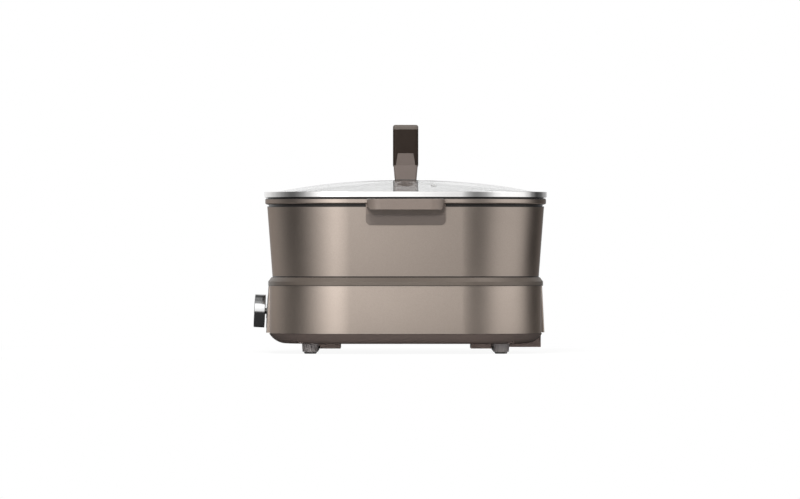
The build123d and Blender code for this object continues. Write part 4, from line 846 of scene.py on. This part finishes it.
def pot_finish():
    """Lacquer outside and coating inside, told apart by place and by which way a face looks.

    The bead, the groove below the flange and a band up to just above the deck take the coating's
    colour as painted shade.
    """
    material = metallic_lacquer("pot_lacquer", pot_colour, roughness=0.31)
    tree = material.node_tree
    shader = tree.nodes["Principled BSDF"]
    geometry = add(tree, "NewGeometry")
    place = add(tree, "TexCoord")
    centred = centred_place(tree)
    flat = add(tree, "VectorMath", {"operation": "MULTIPLY"}, in0=(centred, 0), in1=(1.0, 1.0, 0.0))
    outward = add(
        tree, "VectorMath", {"operation": "DOT_PRODUCT"}, in0=(flat, 0), in1=(geometry, "True Normal")
    )
    turned_in = add(
        tree, "Math", {"operation": "LESS_THAN"}, in0=(outward, "Value"), in1=turned_in_limit
    )
    parts = add(tree, "SeparateXYZ", in0=(geometry, "True Normal"))
    heights = add(tree, "SeparateXYZ", in0=(place, "Object"))
    looks_up = add(
        tree, "Math", {"operation": "GREATER_THAN"}, in0=(parts, "Z"), in1=floor_slope_limit
    )
    below = add(tree, "Math", {"operation": "LESS_THAN"}, in0=(heights, "Z"), in1=flange_underside)
    on_floor = add(tree, "Math", {"operation": "MULTIPLY"}, in0=(looks_up, 0), in1=(below, 0))
    # Painted shade: the bead under the rim, the groove below the flange and the foot up to just above
    # the deck get the coating's dark colour.
    bead_shade_mask = use(tree, "band", Low=flange_top - bead_shade_reach, High=1.0)
    groove_shade_mask = use(tree, "band", Low=flange_underside - groove_shade_height, High=flange_underside)
    well_shade_mask = use(tree, "band", Low=-1.0, High=well_shade_top)
    coated_or_shaded = turned_in
    for mask in (on_floor, bead_shade_mask, groove_shade_mask, well_shade_mask):
        coated_or_shaded = add(tree, "Math", {"operation": "MAXIMUM"}, in0=(coated_or_shaded, 0), in1=(mask, 0))
    specks = add(tree, "TexVoronoi", Vector=(place, "Object"), Scale=specks_per_metre)
    dot = add(tree, "MapRange", in0=(specks, "Distance"), in1=0.10, in2=0.16, in3=1.0, in4=0.0)
    chance = add(tree, "RGBToBW", Color=(specks, "Color"))
    chosen = add(
        tree, "Math", {"operation": "GREATER_THAN"}, in0=(chance, 0), in1=cells_without_speck
    )
    speck = add(tree, "Math", {"operation": "MULTIPLY"}, in0=(dot, 0), in1=(chosen, 0))
    speckled_coating_or_shade = blend_colour(tree, (speck, 0), coating_and_shade_colour, coating_speck)
    lacquer = shader.inputs["Base Color"].links[0].from_node
    gloss = shader.inputs["Roughness"].links[0].from_node
    metallic = add(tree, "Mix", in0=(coated_or_shaded, 0), in2=1.0, in3=0.0)
    roughness = add(tree, "Mix", in0=(coated_or_shaded, 0), in2=(gloss, 0), in3=coating_roughness)
    lead(tree, blend_colour(tree, (coated_or_shaded, 0), (lacquer, 2), speckled_coating_or_shade), shader, "Base Color")
    lead(tree, (metallic, 0), shader, "Metallic")
    lead(tree, (roughness, 0), shader, "Roughness")
    return material


pot_lacquer = pot_finish()
round_the_outline(pot_lacquer)
dress("pot_body", pot_lacquer)


# ---- Side grips of the pot ----
# Moulded in a taupe phenolic plastic with a satin grain, and screwed up into the ears of the pot.
# The wall plate below the finger lip and the crease under the lid's rim are painted darker, as painted
# shade under the lip and below the rim.
grip_colour = (0.245, 0.198, 0.170, 1.0)
grip_worn_colour = (0.33, 0.29, 0.26, 1.0)
grip_plate_painted_shade_colour = (0.205, 0.168, 0.147, 1.0)
grip_lip_bottom = 0.1388
grip_crease_painted_shade_colour = (0.035, 0.029, 0.026, 1.0)
grip_crease_bottom = 0.1538

grip_plastic = moulded_plastic(
    "grip_moulding", grip_colour, grip_worn_colour, roughness=0.40, grain_per_metre=1400.0
)
# Painted shade: darker colour below the finger lip and in the crease under the lid's rim.
shade_band(grip_plastic, 0.0, grip_lip_bottom, grip_plate_painted_shade_colour, border=0.0008)
shade_band(grip_plastic, grip_crease_bottom, 1.0, grip_crease_painted_shade_colour, border=0.0003)
for grip_node in ("pot_grip_right", "pot_grip_left"):
    dress(grip_node, grip_plastic)


# ---- Lid: glass, rolled rim and eyelet ----
# A low dome of clear tempered glass, held in a rolled rim of polished steel that drops into the
# mouth of the pot. A steel eyelet lines the steam hole.
glass_tint = (0.992, 0.996, 0.995, 1.0)
glass_bending = 1.2
steel_colour = (0.88, 0.87, 0.86, 1.0)


def clear_glass():
    """Clear tempered glass with a few wiped streaks."""
    material, tree, shader = blank_finish(
        "clear_glass", Transmission_Weight=1.0, IOR=glass_bending, Metallic=0.0
    )
    marks = use(tree, "marks", Patches_per_metre=18.0)
    hazed = tone(glass_tint, 0.996)
    lead(tree, blend_colour(tree, (marks, "Amount"), glass_tint, hazed), shader, "Base Color")
    lead(tree, scaled(tree, (marks, "Amount"), 0.0, 0.003), shader, "Roughness")
    return material


dress("lid_glass", clear_glass())
rim_steel = polished_metal("rolled_steel", steel_colour, roughness=0.10)
round_the_outline(rim_steel)
for rim_node in ("lid_rim", "vent_eyelet"):
    dress(rim_node, rim_steel)


# ---- Lid handle ----
# A dark moulded arch with a taupe lacquered strip along its top. Taupe feet carry it; their
# tongues run up into the ends of the arch.
arch_colour = (0.026, 0.0165, 0.0115, 1.0)
arch_worn_colour = (0.060, 0.045, 0.036, 1.0)
# Painted shade: the strip along the top gets a darker copy of the feet's taupe.
cap_painted_shade_colour = (0.145, 0.122, 0.104, 1.0)
foot_strip_colour = (0.198, 0.159, 0.140, 1.0)
strip_worn_colour = (0.26, 0.23, 0.20, 1.0)
arch_sheen = 0.25


def smooth_strip(name, colour):
    """The satin moulding of the strip and of the feet."""
    return moulded_plastic(
        name, colour, strip_worn_colour,
        roughness=0.40, grain_per_metre=1400.0, grain_depth=0.00002,
    )


arch_plastic = moulded_plastic("arch_moulding", arch_colour, arch_worn_colour, roughness=0.42)
arch_shader = arch_plastic.node_tree.nodes["Principled BSDF"]
arch_shader.inputs["Specular IOR Level"].default_value = arch_sheen
dress("handle_grip", arch_plastic)
dress("handle_cap", smooth_strip("cap_painted_shade_moulding", cap_painted_shade_colour))
strip_plastic = smooth_strip("strip_moulding", foot_strip_colour)
for strip_node in ("handle_foot_right", "handle_foot_left"):
    dress(strip_node, strip_plastic)


# ---- Floor and studio ----
# A small pale table top in a white studio. Gloss sees broad pale walls with dark gaps between them
# and a soft card on the camera's side. From there also shine a key lamp, a high lamp and a flat beam
# just above the table that lights the lower edge. One lamp shines from behind.
floor_radius = 0.56
floor_drop = 0.0002
floor_colour = (0.62, 0.61, 0.60, 1.0)
# Painted shade: in gloss the table is dark close round the object and pale further out.
floor_painted_shade_in_gloss = (0.10, 0.10, 0.10, 1.0)
floor_far_in_gloss = (0.60, 0.59, 0.58, 1.0)
floor_painted_shade_reach = (0.05, 0.22)
floor_glow = 0.93
floor_shaded_share = 0.11
diffuse_level = 0.14
gloss_level = 1.2
# Angle round the object in degrees from the camera's side, towards the inlet, and brightness
gloss_round = [
    (-180, 0.72), (-160, 0.78), (-140, 0.70), (-124, 0.52), (-113, 0.37), (-104, 0.24), (-96, 0.16),
    (-88, 0.11), (-81, 0.11), (-74, 0.17), (-67, 0.28), (-58, 0.52), (-49, 0.78), (-40, 0.88),
    (-30, 0.83), (-18, 0.60), (-8, 0.38), (2, 0.24), (13, 0.20), (23, 0.21), (32, 0.31), (39, 0.51),
    (47, 0.80), (58, 0.96), (78, 0.98), (92, 0.90), (101, 0.62), (112, 0.18), (122, 0.05), (134, 0.09),
    (150, 0.30), (180, 0.72),
]
# Angle above the horizon in degrees and share of the brightness, on the camera's side and behind
gloss_rise_before = [
    (-90, 0.02), (-48, 0.04), (-30, 0.10), (-19, 0.18), (-8, 0.36), (0, 0.44), (8, 0.58), (20, 0.82),
    (36, 1.0), (50, 1.0), (66, 0.9), (84, 0.5), (90, 0.34),
]
gloss_rise_behind = [
    (-90, 0.02), (-45, 0.05), (-25, 0.14), (-10, 0.36), (0, 0.44), (20, 0.52), (34, 0.40), (48, 0.05),
    (68, 0.09), (90, 0.34),
]
gloss_rise_full = 2.27
# The soft card on the camera's side: place in metres and brightness
card_reach = 0.99
card_across = [
    (-1.1, 0.0), (-0.85, 0.12), (-0.6, 0.46), (-0.42, 0.92), (-0.3, 1.0), (-0.15, 0.86), (-0.03, 0.70),
    (0.055, 0.38), (0.13, 0.22), (0.2, 0.11), (0.33, 0.0),
]
card_upwards = [
    (-0.45, 0.0), (-0.25, 0.19), (-0.05, 0.55), (0.04, 0.69), (0.17, 0.71), (0.27, 0.76), (0.4, 0.83),
    (0.7, 1.0), (1.0, 1.0), (1.5, 0.0),
]
card_level = 2.1


def ramp(tree, source, stops, unit=1.0):
    """A smooth brightness profile over a value; its stops are given in multiples of a unit."""
    low, high = stops[0][0], stops[-1][0]
    share = add(tree, "MapRange", in0=source, in1=low * unit, in2=high * unit)
    profile = add(tree, "ValToRGB", Fac=(share, 0))
    points = profile.color_ramp.elements
    profile.color_ramp.interpolation = "EASE"
    while len(points) < len(stops):
        points.new(0.5)
    for point, (place, _) in zip(points, stops):
        point.position = (place - low) / (high - low)
    for point, (_, level) in zip(points, stops):
        point.color = (level, level, level, 1.0)
    return profile, 0


def product(tree, first, second):
    """Multiplies two colours."""
    settings = {"data_type": "RGBA", "blend_type": "MULTIPLY"}
    return add(tree, "Mix", settings, in0=1.0, in6=first, in7=second), 2


def seen_directly(tree, path):
    """One for what the camera sees, also through glass."""
    return add(
        tree, "Math", {"operation": "MAXIMUM"},
        in0=(path, "Is Camera Ray"), in1=(path, "Is Transmission Ray"),
    )


def studio():
    """The world: white for the camera and through glass, a lit studio for gloss."""
    world = bpy.data.worlds.new("studio")
    world.use_nodes = True
    tree = world.node_tree
    output = tree.nodes["World Output"]
    white = tree.nodes["Background"]
    white.inputs["Color"].default_value = (1.0, 1.0, 1.0, 1.0)
    place = add(tree, "TexCoord")
    parts = add(tree, "SeparateXYZ", in0=(place, "Generated"))
    turn = add(tree, "Math", {"operation": "ARCTAN2"}, in0=(parts, "Y"), in1=(parts, "X"))
    rise = add(tree, "Math", {"operation": "ARCSINE"}, in0=(parts, "Z"))
    degree = math.radians(1.0)
    around = ramp(tree, (turn, 0), gloss_round, degree)
    before = ramp(tree, (rise, 0), gloss_rise_before, degree)
    behind = ramp(tree, (rise, 0), gloss_rise_behind, degree)
    facing = add(tree, "MapRange", in0=(parts, "X"), in1=-0.2, in2=0.2)
    upwards = blend_colour(tree, (facing, 0), behind, before)
    lit = product(tree, around, upwards)
    gloss = add(tree, "Background", Color=lit, Strength=gloss_level * gloss_rise_full)
    soft = add(tree, "Background", Color=(1.0, 1.0, 1.0, 1.0), Strength=diffuse_level)
    path = add(tree, "LightPath")
    unlit = add(tree, "MixShader", in0=(path, "Is Glossy Ray"), in1=(soft, 0), in2=(gloss, 0))
    seen = seen_directly(tree, path)
    whole = add(tree, "MixShader", in0=(seen, 0), in1=(unlit, 0), in2=(white, 0))
    tree.links.new(whole.outputs[0], output.inputs["Surface"])
    bpy.context.scene.world = world


def stage_finish(name):
    """A material without its usual shader; returns material and node tree."""
    material = bpy.data.materials.new(name)
    material.use_nodes = True
    material.node_tree.nodes.remove(material.node_tree.nodes["Principled BSDF"])
    return material, material.node_tree


def table_top():
    """A round pale floor that keeps the object's soft shadow; in gloss it has painted shade close round
    the object.
    """
    disc = bmesh.new()
    bmesh.ops.create_circle(disc, cap_ends=True, segments=96, radius=floor_radius)
    mesh = bpy.data.meshes.new("table_top")
    disc.to_mesh(mesh)
    disc.free()
    mesh.transform(Matrix.Translation((0.0, middle_y, -floor_drop)))
    floor = bpy.data.objects.new("table_top", mesh)
    bpy.context.scene.collection.objects.link(floor)
    material, tree = stage_finish("pale_table")
    path = add(tree, "LightPath")
    past = past_the_flats(tree, centred_place(tree))
    away = add(tree, "VectorMath", {"operation": "LENGTH"}, in0=(past, 0))
    far = add(
        tree, "MapRange", in0=(away, "Value"),
        in1=corner_radius + floor_painted_shade_reach[0], in2=corner_radius + floor_painted_shade_reach[1],
    )
    in_gloss = blend_colour(tree, (far, 0), floor_painted_shade_in_gloss, floor_far_in_gloss)
    colour = blend_colour(tree, (path, "Is Glossy Ray"), floor_colour, in_gloss)
    plain = add(tree, "BsdfDiffuse", Color=colour)
    shaded = add(tree, "BsdfDiffuse", Color=(floor_shaded_share,) * 3 + (1.0,))
    glow = add(tree, "Emission", Color=(1.0, 1.0, 1.0, 1.0), Strength=floor_glow)
    pale = add(tree, "AddShader", in0=(shaded, 0), in1=(glow, 0))
    seen = seen_directly(tree, path)
    above = add(tree, "MixShader", in0=(seen, 0), in1=(plain, 0), in2=(pale, 0))
    geometry = add(tree, "NewGeometry")
    clear = add(tree, "BsdfTransparent")
    whole = add(tree, "MixShader", in0=(geometry, "Backfacing"), in1=(above, 0), in2=(clear, 0))
    tree.links.new(whole.outputs[0], tree.nodes["Material Output"].inputs["Surface"])
    mesh.materials.append(material)


def light_card():
    """A large card that only gloss sees: bright on its knob side, fading towards the inlet."""
    low_y, high_y = card_across[0][0], card_across[-1][0]
    low_z, high_z = card_upwards[0][0], card_upwards[-1][0]
    mesh = bpy.data.meshes.new("light_card")
    corners = [(low_y, low_z), (high_y, low_z), (high_y, high_z), (low_y, high_z)]
    mesh.from_pydata([(card_reach, middle_y + y, z) for y, z in corners], [], [(0, 1, 2, 3)])
    material, tree = stage_finish("light_card")
    parts = add(tree, "SeparateXYZ", in0=(centred_place(tree), 0))
    across = ramp(tree, (parts, "Y"), card_across)
    upwards = ramp(tree, (parts, "Z"), card_upwards)
    glow = add(tree, "Emission", Color=product(tree, across, upwards), Strength=card_level)
    clear = add(tree, "BsdfTransparent")
    both = add(tree, "AddShader", in0=(glow, 0), in1=(clear, 0))
    tree.links.new(both.outputs[0], tree.nodes["Material Output"].inputs["Surface"])
    mesh.materials.append(material)
    card = bpy.data.objects.new("light_card", mesh)
    bpy.context.scene.collection.objects.link(card)
    card.visible_camera = False
    card.visible_diffuse = False
    card.visible_transmission = False
    card.visible_shadow = False


def soft_box(name, place, towards, width, height, power, spread=180.0):
    """A rectangular lamp that faces a point; a small spread in degrees gives a flat beam."""
    data = bpy.data.lights.new(name, "AREA")
    data.spread = math.radians(spread)
    data.shape = "RECTANGLE"
    data.size = width
    data.size_y = height
    data.energy = power
    lamp = bpy.data.objects.new(name, data)
    lamp.location = place
    lamp.rotation_euler = (Vector(towards) - Vector(place)).to_track_quat("-Z", "Y").to_euler()
    lamp.visible_camera = False
    lamp.visible_transmission = False
    lamp.visible_glossy = False
    bpy.context.scene.collection.objects.link(lamp)


studio()
table_top()
light_card()
soft_box(
    "key_lamp", place=(2.5, -0.2, 0.80), towards=(0.2, 0.0, 0.12),
    width=0.3, height=0.3, power=21.0,
)
soft_box(
    "low_lamp", place=(1.2, 0.0, 0.003), towards=(0.2, 0.0, 0.003),
    width=0.6, height=0.012, power=0.05, spread=3.0,
)
soft_box(
    "high_lamp", place=(1.7, -0.3, 1.9), towards=(0.2, 0.0, 0.12),
    width=0.8, height=0.8, power=35.0,
)
soft_box(
    "back_lamp", place=(-1.3, 0.9, 1.2), towards=(0.0, 0.0, 0.1),
    width=1.0, height=1.0, power=9.0,
)
